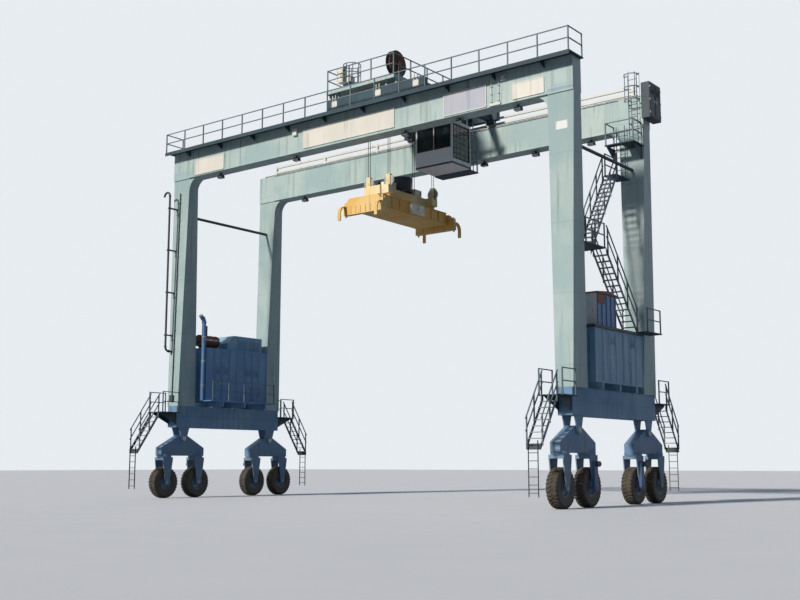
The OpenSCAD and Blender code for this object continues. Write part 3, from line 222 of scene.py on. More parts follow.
# finishes of the paint and the metal: seams is (axis, pitch, shift)
paints = {
    "palePaint": {"coat": "a3bbbb", "faded": "b6c8c4", "grime": "5a7175", "seams": [(2, 2.93, 0.2)],
                  "streak": 0.5, "rust": 0.16, "rough": 0.42},
    "girderPaint": {"coat": "a2baba", "faded": "b7c9c4", "grime": "586e72", "seams": [(0, 2.93, 0.9)],
                    "streak": 0.6, "rust": 0.2, "rough": 0.42},
    "sillPaint": {"coat": "6b91b3", "faded": "80a4c1", "grime": "223247", "seams": [(2, 5.0, 0.77)],
                  "streak": 0.6, "rust": 0.24, "rough": 0.48},
    "bluePaint": {"coat": "6088ae", "faded": "769cbc", "grime": "1b2838", "streak": 0.6, "rust": 0.28,
                  "rough": 0.46},
    "machineBlue": {"coat": "4d77a6", "faded": "628abb", "grime": "18212e", "streak": 0.5, "rust": 0.2,
                    "rough": 0.4},
    "housePaint": {"coat": "7ba5c4", "faded": "90b6d0", "grime": "34495f", "seams": [(1, 1.11, 0.02)],
                   "streak": 0.6, "rust": 0.18, "rough": 0.44},
    "powerPaint": {"coat": "5f8cb8", "faded": "749fc6", "grime": "1f2f46", "seams": [(1, 1.15, 0.1)],
                   "streak": 0.6, "rust": 0.2, "rough": 0.44},
    "skyPaint": {"coat": "86b1cc", "faded": "9cc1d6", "grime": "3f5d73", "streak": 0.5, "rust": 0.2,
                 "rough": 0.45},
    "whitePaint": {"coat": "dcdcd4", "faded": "e8e7e0", "grime": "85877f", "streak": 0.45, "rust": 0.16,
                   "rough": 0.4},
    "cabinPaint": {"coat": "e6e9e8", "faded": "eff0ee", "grime": "7f8078", "streak": 0.4, "rust": 0.1,
                   "rough": 0.38},
    "creamPaint": {"coat": "efe9d0", "faded": "f4f0e0", "grime": "9a9272", "streak": 0.35, "rust": 0.12,
                   "rough": 0.4},
    "boardPaint": {"coat": "dfdcd1", "faded": "e9e6dc", "grime": "98958a", "streak": 0.5, "rust": 0.1,
                   "rough": 0.35},
    "fadedBoard": {"coat": "c4bfc2", "faded": "b4bac8", "grime": "8d858a", "streak": 0.6, "rust": 0.14,
                   "rough": 0.4},
    "yellowPaint": {"coat": "e6b154", "faded": "f1cf88", "grime": "7a5624", "streak": 0.5, "rust": 0.28,
                    "rough": 0.5},
    "fadedYellow": {"coat": "ecd59a", "faded": "f0e6c8", "grime": "7c6a40", "streak": 0.5, "rust": 0.24,
                    "rough": 0.5},
    "deckPaint": {"coat": "1f3843", "faded": "2e4b57", "grime": "131b1f", "streak": 0.4, "rust": 0.28,
                  "rough": 0.6,
                  "tread": True},
    "railPaint": {"coat": "596b76", "faded": "74848d", "grime": "2c353b", "streak": 0.4, "rust": 0.3,
                  "rough": 0.5},
    "treadSteel": {"coat": "8f989b", "faded": "a6acae", "grime": "50504c", "streak": 0.4, "rust": 0.32,
                   "rough": 0.55,
                   "tread": True},
    "darkPaint": {"coat": "2a333d", "faded": "3e4954", "grime": "12161b", "streak": 0.4, "rust": 0.26,
                  "rough": 0.55},
    "brownPaint": {"coat": "7c4a38", "faded": "946150", "grime": "2f1d17", "streak": 0.6, "rust": 0.4,
                   "rough": 0.6},
    "rustySteel": {"coat": "65473a", "faded": "836252", "grime": "2a1f1a", "streak": 0.7, "rust": 0.5,
                   "rough": 0.75},
    "bareSteel": {"coat": "8e9091", "faded": "a6a7a6", "grime": "454543", "streak": 0.5, "rust": 0.34,
                  "rough": 0.38,
                  "metal": 0.8},
    "bandPaint": {"coat": "8ba4b4", "faded": "a0b5bf", "grime": "5a7175", "streak": 0.6, "rust": 0.12,
                  "rough": 0.42},
    "gasket": {"coat": "1d1f21", "faded": "2c2e30", "grime": "101112", "streak": 0.3, "rust": 0.02,
               "rough": 0.7},
}
# what all paints share: colours of rust and dust, the height the dust reaches, seam and tread lines, relief
wear = {"rust": "5e3219", "dust": "8d8474", "dustTop": 4.5, "dustAmount": 0.55, "seamWidth": 0.022,
        "seamDark": 0.35,
        "treadPitch": 0.06, "treadWidth": 0.012, "relief": 0.35, "reliefDepth": 0.004}


def makePaint(name, look):
    material, tree, shader, where = startMaterial(name)
    weather = useGroup(tree, "weather", Vector=where, Spot_Share=look["rust"])
    parts = axes(tree, where)
    tone = blendColour(tree, weather["Patch"], colour(look["coat"]), colour(look["faded"]))
    tone = blendColour(tree, times(tree, weather["Streak"], look["streak"]), tone, colour(look["grime"]))
    line = None
    for axis, pitch, shift in look.get("seams", []):
        line = useGroup(tree, "seams", Along=parts[axis], Pitch=pitch, Shift=shift,
                        Width=wear["seamWidth"])["Line"]
        tone = blendColour(tree, times(tree, line, wear["seamDark"]), tone, colour(look["grime"]))
    dust = useGroup(tree, "dust", Vector=where, Top=wear["dustTop"], Amount=wear["dustAmount"])["Dust"]
    tone = blendColour(tree, dust, tone, colour(wear["dust"]))
    tone = blendColour(tree, weather["Rust"], tone, colour(wear["rust"]))
    feed(tree, shader.inputs["Base Color"], tone)
    worn = plus(tree, times(tree, weather["Rust"], 0.35), times(tree, dust, 0.3))
    worn = plus(tree, worn, times(tree, weather["Grain"], 0.12))
    feed(tree, shader.inputs["Roughness"], maths(tree, "ADD", look["rough"], worn, clamp=True))
    if "metal" in look:
        shine = maths(tree, "SUBTRACT", look["metal"], weather["Rust"], clamp=True)
        feed(tree, shader.inputs["Metallic"], shine)
    height = plus(tree, times(tree, weather["Grain"], 0.15), times(tree, weather["Rust"], 0.4))
    if line is not None:
        height = plus(tree, height, line)
    if "tread" in look:
        bars = [useGroup(tree, "seams", Along=parts[axis], Pitch=wear["treadPitch"], Shift=0.0,
                         Width=wear["treadWidth"])["Line"] for axis in (0, 1)]
        height = plus(tree, height, maths(tree, "MAXIMUM", *bars))
    roughen(tree, shader, height, wear["relief"], wear["reliefDepth"])
    return material


# dusty on the tread, dark on the side walls: the distance from the nearest axle parts the two
rubber = {"axles": (2.125, 4.275), "axleHeight": 0.8075, "wall": 0.66, "tread": 0.79, "clean": "141416",
          "scuffed": "262524", "dust": "625a4f"}


def makeRubber(name):
    material, tree, shader, where = startMaterial(name)
    parts = axes(tree, where)
    along = maths(tree, "ABSOLUTE", parts[1])
    gaps = [maths(tree, "ABSOLUTE", minus(tree, along, place)) for place in rubber["axles"]]
    across = maths(tree, "POWER", maths(tree, "MINIMUM", *gaps), 2.0)
    above = maths(tree, "POWER", minus(tree, parts[2], rubber["axleHeight"]), 2.0)
    radius = maths(tree, "SQRT", plus(tree, across, above))
    cloud = ramp(tree, noise(tree, where, 5.0, 6.0, 0.65), 0.25, 0.62)
    tread = times(tree, ramp(tree, radius, rubber["wall"], rubber["tread"]), cloud)
    scuff = ramp(tree, noise(tree, where, 14.0, 5.0, 0.6), 0.42, 0.7)
    tone = blendColour(tree, scuff, colour(rubber["clean"]), colour(rubber["scuffed"]))
    tone = blendColour(tree, plus(tree, times(tree, tread, 0.7), 0.1), tone, colour(rubber["dust"]))
    feed(tree, shader.inputs["Base Color"], tone)
    feed(tree, shader.inputs["Roughness"], plus(tree, 0.62, times(tree, tread, 0.3)))
    roughen(tree, shader, plus(tree, noise(tree, where, 120.0, 4.0, 0.7), scuff), 0.4, 0.003)
    return material


# smooth finishes in two tones that a noise parts: rough and alpha are (least, how much more)
glass = {"tones": ("10171b", "2b363b"), "noise": (2.5, 5.0), "mask": (0.35, 0.7), "rough": (0.05, 0.18),
         "alpha": (0.86, 0.1), "coat": 0.6}
wireRope = {"tones": ("4c4b48", "1c1b1a"), "noise": (9.0, 4.0), "mask": (0.35, 0.65), "rough": (0.35, 0.3),
            "metal": 0.7}
lens = {"tones": ("f4f3ea", "c9cdd0"), "cells": 22.0, "rough": 0.2}


def twoTones(name, look):
    material, tree, shader, where = startMaterial(name)
    film = ramp(tree, noise(tree, where, *look["noise"], 0.6), *look["mask"])
    feed(tree, shader.inputs["Base Color"], blendColour(tree, film,
                                                        *[colour(tone) for tone in look["tones"]]))
    feed(tree, shader.inputs["Roughness"], plus(tree, look["rough"][0], times(tree, film, look["rough"][1])))
    if "metal" in look:
        shader.inputs["Metallic"].default_value = look["metal"]
    if "alpha" in look:
        shader.inputs["Coat Weight"].default_value = look["coat"]
        feed(tree, shader.inputs["Alpha"], plus(tree, look["alpha"][0], times(tree, film, look["alpha"][1])))
    return material


def makeLens(name):
    material, tree, shader, where = startMaterial(name)
    cell = addNode(tree, "ShaderNodeTexVoronoi", None, Vector=where, Scale=lens["cells"]).outputs["Distance"]
    feed(tree, shader.inputs["Base Color"], blendColour(tree, cell,
                                                        *[colour(tone) for tone in lens["tones"]]))
    shader.inputs["Roughness"].default_value = lens["rough"]
    roughen(tree, shader, cell, 0.3, 0.003)
    return material


paint = {name: makePaint(name, look) for name, look in paints.items()}
paint["rubber"] = makeRubber("rubber")
paint["glass"] = twoTones("glass", glass)
paint["wireRope"] = twoTones("wireRope", wireRope)
paint["lens"] = makeLens("lens")
print("materials made:", len(paint))

nodeBody = {node: body for body, nodes in frame["record"]["behaviour"]["bodies"].items() for node in nodes}


def circle(count, radius):
    angles = [2 * math.pi * k / count for k in range(count)]
    return [(radius * math.cos(t), radius * math.sin(t)) for t in angles]


def mirrored(half):
    return half + [(radius, -along) for radius, along in reversed(half)]


# shapes are gathered in a bmesh: each helper adds closed forms with a material index
def skin(shape, rings, finish=0):
    count = len(rings[0])
    for low, high in zip(rings, rings[1:]):
        for i in range(count):
            j = (i + 1) % count
            shape.faces.new([low[i], low[j], high[j], high[i]]).material_index = finish
    for cap in (rings[0][::-1], rings[-1]):
        shape.faces.new(cap).material_index = finish


# a box in the frame that the function at gives: lean slants it
def addSlab(shape, at, low, high, finish=0, lean=0.0):
    corners = [shape.verts.new(at(a, b + lean * (c - low[2]), c))
               for a in (low[0], high[0]) for b in (low[1], high[1]) for c in (low[2], high[2])]
    for face in ((0, 1, 3, 2), (4, 6, 7, 5), (0, 4, 5, 1), (2, 3, 7, 6), (0, 2, 6, 4), (1, 5, 7, 3)):
        shape.faces.new([corners[i] for i in face]).material_index = finish


def addBlock(shape, low, high, finish=0):
    addSlab(shape, lambda a, b, c: (a, b, c), low, high, finish)


def addPrism(shape, outline, plane, start, end, finish=0):
    spread = {"yz": lambda u, v, w: (w, u, v), "xy": lambda u, v, w: (u, v, w)}[plane]
    skin(shape, [[shape.verts.new(spread(u, v, w)) for u, v in outline] for w in (start, end)], finish)


def addLathe(shape, profile, centre, axis, segments=32, finish=0, closed=False):
    centre = Vector(centre)
    turn = Vector((0, 0, 1)).rotation_difference(Vector(axis)).to_matrix()
    rings = []
    for radius, along in profile:
        spots = circle(segments, radius) if radius > 1e-6 else [(0, 0)]
        rings.append([shape.verts.new(centre + turn @ Vector((x, y, along))) for x, y in spots])
    pairs = list(zip(rings, rings[1:])) + ([(rings[-1], rings[0])] if closed else [])
    for low, high in pairs:
        for i in range(segments):
            j = (i + 1) % segments
            corners = [low[i % len(low)], low[j % len(low)], high[j % len(high)], high[i % len(high)]]
            corners = [v for k, v in enumerate(corners) if v not in corners[:k]]
            shape.faces.new(corners).material_index = finish
    for ring in () if closed else (rings[0], rings[-1]):
        if len(ring) > 2:
            shape.faces.new(ring).material_index = finish


def addTube(shape, points, radius, sides=8, finish=0):
    points = [Vector(p) for p in points]
    side = None
    rings = []
    for i, point in enumerate(points):
        ahead = (points[min(i + 1, len(points) - 1)] - points[max(i - 1, 0)]).normalized()
        side = (ahead.orthogonal() if side is None else side - ahead * side.dot(ahead)).normalized()
        other = ahead.cross(side)
        rings.append([shape.verts.new(point + radius * (x * side + y * other))
                      for x, y in circle(sides, 1.0)])
    skin(shape, rings, finish)


def bend(corner, before, after, radius, steps=6):
    corner = Vector(corner)
    start = corner + (Vector(before) - corner).normalized() * radius
    end = corner + (Vector(after) - corner).normalized() * radius
    shares = [i / steps for i in range(steps + 1)]
    return [(1 - t) ** 2 * start + 2 * t * (1 - t) * corner + t ** 2 * end for t in shares]


def route(points, radius=0.1):
    path = [Vector(points[0])]
    for before, corner, after in zip(points, points[1:], points[2:]):
        path += bend(corner, before, after, radius)
    return path + [Vector(points[-1])]


def addMesh(shape, mesh, finish, place):
    first = len(shape.faces)
    part = mesh.copy()
    part.transform(place)
    shape.from_mesh(part)
    shape.faces.ensure_lookup_table()
    for face in shape.faces[first:]:
        face.material_index = finish
    bpy.data.meshes.remove(part)


def finishPiece(shape, name, finishes, body, edge=0.0, replaces=()):
    bmesh.ops.recalc_face_normals(shape, faces=shape.faces)
    mesh = bpy.data.meshes.new(name)
    shape.to_mesh(mesh)
    shape.free()
    for finish in [finishes] if isinstance(finishes, str) else finishes:
        mesh.materials.append(paint[finish])
    mesh.polygons.foreach_set("use_smooth", [True] * len(mesh.polygons))
    mesh.set_sharp_from_angle(angle=math.radians(32))
    piece = bpy.data.objects.new(name, mesh)
    scene.collection.objects.link(piece)
    if edge:
        bevel = piece.modifiers.new("edge", "BEVEL")
        bevel.width, bevel.segments, bevel.limit_method = edge, 2, "ANGLE"
        bevel.angle_limit = math.radians(40)
    if body:
        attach(piece, body)
    if replaces:
        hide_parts(*replaces)
    return piece


# Geometry Nodes patterns: a ring and a row of one small part
def patternTree(name, kind):
    tree = bpy.data.node_groups.new(name, "GeometryNodeTree")
    for label, socket in (("Part", "Object"), ("Count", "Int"), ("Radius", "Float"), ("Start", "Vector"),
                          ("Step", "Vector"), ("Finish", "Material")):
        tree.interface.new_socket(label, in_out="INPUT", socket_type="NodeSocket" + socket)
    tree.interface.new_socket("Geometry", in_out="OUTPUT", socket_type="NodeSocketGeometry")
    given = tree.nodes.new("NodeGroupInput").outputs
    out = tree.nodes.new("NodeGroupOutput").inputs
    part = addNode(tree, "GeometryNodeObjectInfo", None, Object=given["Part"]).outputs["Geometry"]
    if kind == "ring":
        points = addNode(tree, "GeometryNodeMeshCircle", None, Vertices=given["Count"],
                         Radius=given["Radius"])
        step = tree.nodes.new("GeometryNodeInputIndex").outputs[0]
        angle = maths(tree, "DIVIDE", times(tree, step, 2 * math.pi), given["Count"])
        euler = addNode(tree, "ShaderNodeCombineXYZ", None, Z=angle).outputs[0]
        turn = addNode(tree, "FunctionNodeEulerToRotation", None, i0=euler).outputs[0]
    else:
        points = addNode(tree, "GeometryNodeMeshLine", {"mode": "OFFSET"}, Count=given["Count"],
                         Start_Location=given["Start"], Offset=given["Step"])
        turn = None
    placed = addNode(tree, "GeometryNodeInstanceOnPoints", None, Points=points.outputs[0], Instance=part,
                     Rotation=turn)
    real = addNode(tree, "GeometryNodeRealizeInstances", None, Geometry=placed.outputs[0]).outputs[0]
    coated = addNode(tree, "GeometryNodeSetMaterial", None, Geometry=real, Material=given["Finish"])
    feed(tree, out["Geometry"], coated.outputs[0])
    return tree


trees = {"ring": patternTree("ringOfParts", "ring"), "row": patternTree("rowOfParts", "row")}


def pattern(kind, partShape, finish, **values):
    bmesh.ops.recalc_face_normals(partShape, faces=partShape.faces)
    partMesh = bpy.data.meshes.new("part")
    partShape.to_mesh(partMesh)
    partShape.free()
    part = bpy.data.objects.new("part", partMesh)
    carrier = bpy.data.objects.new("carrier", bpy.data.meshes.new("carrier"))
    for item in (part, carrier):
        scene.collection.objects.link(item)
    modifier = carrier.modifiers.new("pattern", "NODES")
    modifier.node_group = trees[kind]
    values.update({"Part": part, "Finish": paint[finish]})
    for item in trees[kind].interface.items_tree:
        if item.in_out == "INPUT" and item.name in values:
            modifier[item.identifier] = values[item.name]
    graph = bpy.context.evaluated_depsgraph_get()
    mesh = bpy.data.meshes.new_from_object(carrier.evaluated_get(graph), depsgraph=graph)
    for item in (part, carrier):
        old = item.data
        bpy.data.objects.remove(item)
        bpy.data.meshes.remove(old)
    mesh.materials.clear()
    return mesh


def boltShape(size, height):
    shape = bmesh.new()
    addPrism(shape, circle(6, size), "xy", 0, height)
    return shape


def blockShape(low, high):
    shape = bmesh.new()
    addBlock(shape, low, high)
    return shape


def copyNode(name):
    shape = bmesh.new()
    shape.from_mesh(frame["nodes"][name].data)
    bmesh.ops.remove_doubles(shape, verts=shape.verts, dist=1e-5)
    bmesh.ops.dissolve_limit(shape, angle_limit=math.radians(1), verts=shape.verts, edges=shape.edges)
    for face in shape.faces:
        face.material_index = 0
    return shape


# gives the faces of a shape whose middle lies in a box another material index
def paintBox(shape, low, high, finish):
    for face in shape.faces:
        middle = face.calc_center_median()
        if all(low[i] <= middle[i] <= high[i] for i in range(3)):
            face.material_index = finish


# the corners of each separate solid in a shape, in order along X
def looseBoxes(shape):
    left, boxes = set(shape.verts), []
    while left:
        stack, part = [left.pop()], []
        while stack:
            vert = stack.pop()
            part.append(vert.co)
            for edge in vert.link_edges:
                other = edge.other_vert(vert)
                if other in left:
                    left.remove(other)
                    stack.append(other)
        boxes.append(tuple(Vector([pick(spot[i] for spot in part) for i in range(3)]) for pick in (min, max)))
    return sorted(boxes, key=lambda box: tuple(box[0]))


# a dressed copy of a CAD node: finish or finishes, edge rounding, and boxes (low, high, finish index)
def dress(node, finishes, edge=0.0, regions=()):
    shape = copyNode(node)
    for low, high, finish in regions:
        paintBox(shape, low, high, finish)
    name = "".join(word.capitalize() for word in node.split("_"))
    return finishPiece(shape, "dressed" + name, finishes, nodeBody[node], edge,
                       replaces=(node,))


# places on a flat face: along and up lie in the face, and their cross product points out of it
def onFace(origin, along, up=(0, 0, 1)):
    origin, along, up = Vector(origin), Vector(along), Vector(up)
    out = along.cross(up)
    return lambda a, b, c: origin + along * a + up * b + out * c


facing = {"front": (1, 0, 0), "rear": (-1, 0, 0), "right": (0, 1, 0), "left": (0, -1, 0)}


def wall(side, x=0.0, y=0.0, z=0.0):
    return onFace((x, y, z), facing[side])


def deck(x, y, z):
    return onFace((x, y, z), (1, 0, 0), (0, 1, 0))


def raised(at, lift):
    return lambda a, b, c: at(a, b, c + lift)


def addBorder(shape, at, low, high, width, depth, finish=0):
    (a0, b0), (a1, b1) = low, high
    for start, end in (((a0, b0), (a1, b0 + width)), ((a0, b1 - width), (a1, b1)),
                       ((a0, b0 + width), (a0 + width, b1 - width)),
                       ((a1 - width, b0 + width), (a1, b1 - width))):
        addSlab(shape, at, (*start, 0), (*end, depth), finish)


louvre = {"frame": 0.03, "depth": 0.02, "pitch": 0.07, "slat": 0.012, "foot": 0.045, "side": 0.035,
          "lift": 0.002}


def addLouvre(shape, at, low, high, finish=0):
    addBorder(shape, at, low, high, louvre["frame"], louvre["depth"], finish)
    side, lift = louvre["side"], louvre["lift"]
    for i in range(int((high[1] - low[1] - 0.08) / louvre["pitch"])):
        b = low[1] + louvre["foot"] + i * louvre["pitch"]
        addSlab(shape, at, (low[0] + side, b, lift), (high[0] - side, b + louvre["slat"], lift + 0.03),
                finish, lean=-1.0)


door = {"leaf": 0.012, "inset": 0.03, "rib": 0.035, "ribDepth": 0.024, "hinges": (0.12, 0.5, 0.88),
        "grip": 0.48,
        "gripIn": 0.09}


def addDoor(shape, at, low, high, finish=0, trim=1, hinge="left", vent=True):
    (a0, b0), (a1, b1) = low, high
    inset = door["inset"]
    addSlab(shape, at, (a0, b0, 0), (a1, b1, door["leaf"]), finish)
    addBorder(shape, at, (a0 + inset, b0 + inset), (a1 - inset, b1 - inset), door["rib"], door["ribDepth"],
              finish)
    edge, grip = (a0, a1 - door["gripIn"]) if hinge == "left" else (a1, a0 + door["gripIn"])
    for share in door["hinges"]:
        b = b0 + (b1 - b0) * share
        addTube(shape, [at(edge, b - 0.05, 0.016), at(edge, b + 0.05, 0.016)], 0.014, 8, trim)
        addSlab(shape, at, (edge - 0.03, b - 0.04, 0.0), (edge + 0.03, b + 0.04, 0.015), trim)
    b = b0 + (b1 - b0) * door["grip"]
    addSlab(shape, at, (grip - 0.025, b - 0.07, 0.0), (grip + 0.025, b + 0.07, 0.02), trim)
    addHandle(shape, at, (grip, b - 0.05), (grip, b + 0.05), (0.015, 0.05), 0.018, 0.008, 6, trim)
    if vent:
        addLouvre(shape, raised(at, 0.01), (a0 + 0.1, b1 - 0.52), (a1 - 0.1, b1 - 0.14), finish)


# a bar bent out of a face between two places on it: depths is (where it starts, how far it stands out)
def addHandle(shape, at, start, end, depths, corner, radius, sides, finish):
    foot, out = depths
    path = [at(*start, foot), at(*start, out), at(*end, out), at(*end, foot)]
    addTube(shape, route(path, corner), radius, sides, finish)


def addBolts(shape, at, places, size=0.012, height=0.012, finish=1):
    for a, b in places:
        rings = [[shape.verts.new(at(a + x, b + y, c)) for x, y in circle(6, size)] for c in (0.0, height)]
        skin(shape, rings, finish)


# the CAD nodes whose form stays, with rounded edges and their paint
plainNodes = {
    "palePaint": (0.012, ["leg_front_right", "leg_front_left", "leg_rear_right", "leg_rear_left"]),
    "girderPaint": (0.008, ["girder_front", "girder_rear"]),
    "sillPaint": (0.012, ["sill_right", "sill_left"]),
    "bluePaint": (0.01, ["bogie_front_right", "bogie_front_left", "bogie_rear_right", "bogie_rear_left"]
                  + [f"fork_{n}" for n in range(1, 9)]),
    "powerPaint": (0.012, ["power_house"]),
    "skyPaint": (0.02, ["air_plenum"]),
    "whitePaint": (0.006, ["festoon_track"]),
    "fadedYellow": (0.008, ["headblock"]),
    "yellowPaint": (0.008, ["spreader_frame", "spreader_end_near", "spreader_end_far"]),
    "deckPaint": (0.003, ["walkway", "end_platforms", "stair_landings"]),
    "railPaint": (0.014, ["walkway_railing", "access_railings"]),
    "darkPaint": (0.01, ["floodlights", "end_cabinet", "leg_ties", "leg_pipe"]),
    "bareSteel": (0.004, ["trolley_rails", "bogie_pins", "trolley_wheels"]),
}
for finish, (edge, names) in plainNodes.items():
    for name in names:
        dress(name, finish, edge)
dress("caged_ladder", "railPaint", 0.003)
dress("electrical_house", ("housePaint", "darkPaint"), 0.012, [((10, -3, 7.29), (14, 3, 7.6), 1)])
# painted shade: the trolley frame's band under the deck edge, z 18.5 to 19.6, takes the dark deck paint
dress("trolley_frame", ("girderPaint", "deckPaint"), 0.008, [((-2, -3.4, 18.5), (5, 3.4, 19.6), 1)])
print("plain nodes dressed")


def middleOf(node):
    low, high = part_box(node)
    return (low + high) / 2


# the tyres with staggered lugs, the dished rims, hubs and bolts
tyre = {"tread": 0.8075, "carcass": 0.776, "halfWidth": 0.25, "lugs": 30, "rim": 0.335, "axle": 0.06,
        "axleHalf": 0.34, "bolts": 12, "boltCircle": 0.235, "boltFace": 0.09}


def lugShape(side):
    shape = bmesh.new()
    crown = tyre["tread"]
    # place across the tyre, shift along the tread, half width and top of the lug
    stations = [(0.008, 0.0, 0.036, crown), (0.07, 0.016, 0.04, crown), (0.14, 0.04, 0.044, crown - 0.002),
                (0.2, 0.052, 0.046, crown - 0.01), (0.236, 0.058, 0.046, crown - 0.045),
                (0.246, 0.06, 0.044, crown - 0.11)]
    rings = []
    for across, shift, half, top in stations:
        low = min(tyre["carcass"] - 0.012, top - 0.03)
        corners = ((low, shift - half), (low, shift + half), (top, shift + half * 0.82),
                   (top, shift - half * 0.82))
        rings.append([shape.verts.new((r * math.cos(along / r), r * math.sin(along / r), side * across))
                      for r, along in corners])
    skin(shape, rings)
    return shape


def carcassProfile():
    half, top = tyre["halfWidth"], tyre["carcass"]
    return mirrored([(tyre["rim"], -0.19), (0.36, -0.212), (0.42, -0.236), (0.435, -0.244), (0.45, -0.24),
                     (0.52, -half + 0.003), (0.6, -half), (0.655, -half + 0.003), (0.665, -half - 0.002),
                     (0.68, -half + 0.006), (0.72, -0.236), (0.748, -0.218), (0.765, -0.19),
                     (top - 0.003, -0.14),
                     (top, -0.06)])


def rimProfile():
    return mirrored([(0.0, -0.15), (0.1, -0.15), (0.16, -0.15), (0.165, -0.1), (0.2, -0.09), (0.27, -0.1),
                     (0.3, -0.14), (0.31, -0.19), (0.345, -0.205), (0.35, -0.19), (0.325, -0.17)])


def makeWheels():
    toAxle = Matrix.Rotation(math.radians(90), 4, "Y")
    halfStep = Matrix.Rotation(math.pi / tyre["lugs"], 4, "Z")
    lugs = [pattern("ring", lugShape(side), "rubber", Count=tyre["lugs"], Radius=0.0) for side in (-1, 1)]
    bolts = pattern("ring", boltShape(0.017, 0.03), "bareSteel", Count=tyre["bolts"],
                    Radius=tyre["boltCircle"])
    end = tyre["axleHalf"]
    axle = mirrored([(0.0, -end), (0.05, -end), (tyre["axle"], -end + 0.01)])
    for number, name in enumerate(wheelNames, 1):
        centre = middleOf(name)
        place = Matrix.Translation(centre)
        shape = bmesh.new()
        addLathe(shape, carcassProfile(), centre, (1, 0, 0), 64, closed=True)
        addMesh(shape, lugs[0], 0, place @ toAxle)
        addMesh(shape, lugs[1], 0, place @ toAxle @ halfStep)
        finishPiece(shape, f"tyre_{number}", "rubber", f"{name}_body", replaces=(name,))
        hub = bmesh.new()
        addLathe(hub, rimProfile(), centre, (1, 0, 0), 48)
        addLathe(hub, axle, centre, (1, 0, 0), 32, 1)
        for side in (-1, 1):
            face = Matrix.Translation(centre + Vector((side * tyre["boltFace"], 0, 0)))
            addMesh(hub, bolts, 1, face @ Matrix.Rotation(side * math.pi / 2, 4, "Y"))
        finishPiece(hub, f"rim_{number}", ("bluePaint", "bareSteel"), f"{name}_body")


makeWheels()
print("wheels made")

# the eight hoist ropes, six strands laid round each other
hoistRope = {"radius": 0.016, "groove": 0.16, "lay": 0.23, "strands": 6, "rings": 90, "across": 1.8,
             "places": (-0.68, -0.56, 0.56, 0.68)}


def makeRopes():
    low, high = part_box("hoist_ropes")
    middle = (low.x + high.x) / 2
    shape = bmesh.new()
    sides, count = hoistRope["strands"] * 2, hoistRope["rings"]
    section = [(hoistRope["radius"] * (1 - hoistRope["groove"] * (k % 2)), 2 * math.pi * k / sides)
               for k in range(sides)]
    for x in hoistRope["places"]:
        for y in (-hoistRope["across"], hoistRope["across"]):
            rings = []
            for i in range(count + 1):
                z = low.z + (high.z - low.z) * i / count
                turn = 2 * math.pi * (z - low.z) / hoistRope["lay"]
                rings.append([shape.verts.new((middle + x + r * math.cos(turn + t),
                                               y + r * math.sin(turn + t), z))
                              for r, t in section])
            skin(shape, rings)
    piece = finishPiece(shape, "hoistRopes", "wireRope", None, replaces=("hoist_ropes",))
    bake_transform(piece)


makeRopes()
print("ropes made")


# the boards on the front girder: border strips, screws, and one of them faded
board = {"border": 0.035, "depth": 0.012, "screwPitch": 0.75, "screw": 0.011, "faded": 2}


def makeBoards():
    shape = copyNode("girder_boards")
    boxes = looseBoxes(shape)
    start, end = boxes[board["faded"]]
    paintBox(shape, (start.x - 0.1, -9, 0), (end.x + 0.1, 9, 30), 1)
    edge = board["border"] / 2
    for low, high in boxes:
        at = wall("front", *low)
        width, height = high.x - low.x, high.z - low.z
        addBorder(shape, at, (0, 0), (width, height), board["border"], board["depth"], 2)
        steps = max(2, round(width / board["screwPitch"]))
        places = [(edge + (width - 2 * edge) * i / steps, b) for i in range(steps + 1)
                  for b in (edge, height - edge)]
        addBolts(shape, raised(at, board["depth"]), places, board["screw"], 0.008, 3)
    finishPiece(shape, "girderBoards", ("boardPaint", "fadedBoard", "whitePaint", "bareSteel"), "portal",
                replaces=("girder_boards",))


# lenses, frames, cooling fins and a bail on each floodlight
lamp = {"lens": (0.14, 0.1), "frame": (0.165, 0.125), "border": 0.025, "fins": 7, "finPitch": 0.04,
        "bail": 0.2}


def makeLamps():
    shape = bmesh.new()
    (lensX, lensY), (rimX, rimY) = lamp["lens"], lamp["frame"]
    for low, high in looseBoxes(copyNode("floodlights")):
        x, y = (low.x + high.x) / 2, (low.y + high.y) / 2
        under = onFace((x, y, low.z), (1, 0, 0), (0, -1, 0))
        addSlab(shape, under, (-lensX, -lensY, -0.004), (lensX, lensY, 0.003), 1)
        addBorder(shape, under, (-rimX, -rimY), (rimX, rimY), lamp["border"], 0.008, 0)
        for i in range(lamp["fins"]):
            fin = x + (i - (lamp["fins"] - 1) / 2) * lamp["finPitch"]
            addBlock(shape, (fin - 0.004, y - 0.075, low.z + 0.14), (fin + 0.004, y + 0.075, low.z + 0.175))
        for side in (-1, 1):
            arm = x + side * lamp["bail"]
            path = [(x + side * 0.17, y, low.z + 0.07), (arm, y, low.z + 0.07), (arm, y, high.z - 0.01),
                    (x + side * 0.04, y, high.z - 0.01)]
            addTube(shape, route(path, 0.03), 0.011, 8)
    finishPiece(shape, "lampFittings", ("darkPaint", "lens"), "portal")


# conduits with clips, boxes and a paint bar on the girder's front face, and a plate on the front right leg
# a box and the bar are given as (low corner, high corner, depth)
girderTrim = {"face": 0.045, "conduits": (8.38, 8.75), "foot": 17.12, "head": 18.25,
              "clips": (17.25, 17.6, 17.95),
              "footBox": ((8.28, 17.085), (8.85, 17.2), 0.09),
              "headBox": ((8.88, 18.12), (9.12, 18.38), 0.11),
              "lid": ((8.89, 18.13), (9.11, 18.37)), "lampBox": ((-3.4, 17.95), (-3.12, 18.3), 0.12),
              "bar": ((11.14, 17.14), (12.35, 17.28), 0.003), "leg": -3.614,
              "plate": ((11.5, 15.32), (12.04, 15.8)),
              "plateDepth": 0.012, "boltInset": 0.04}


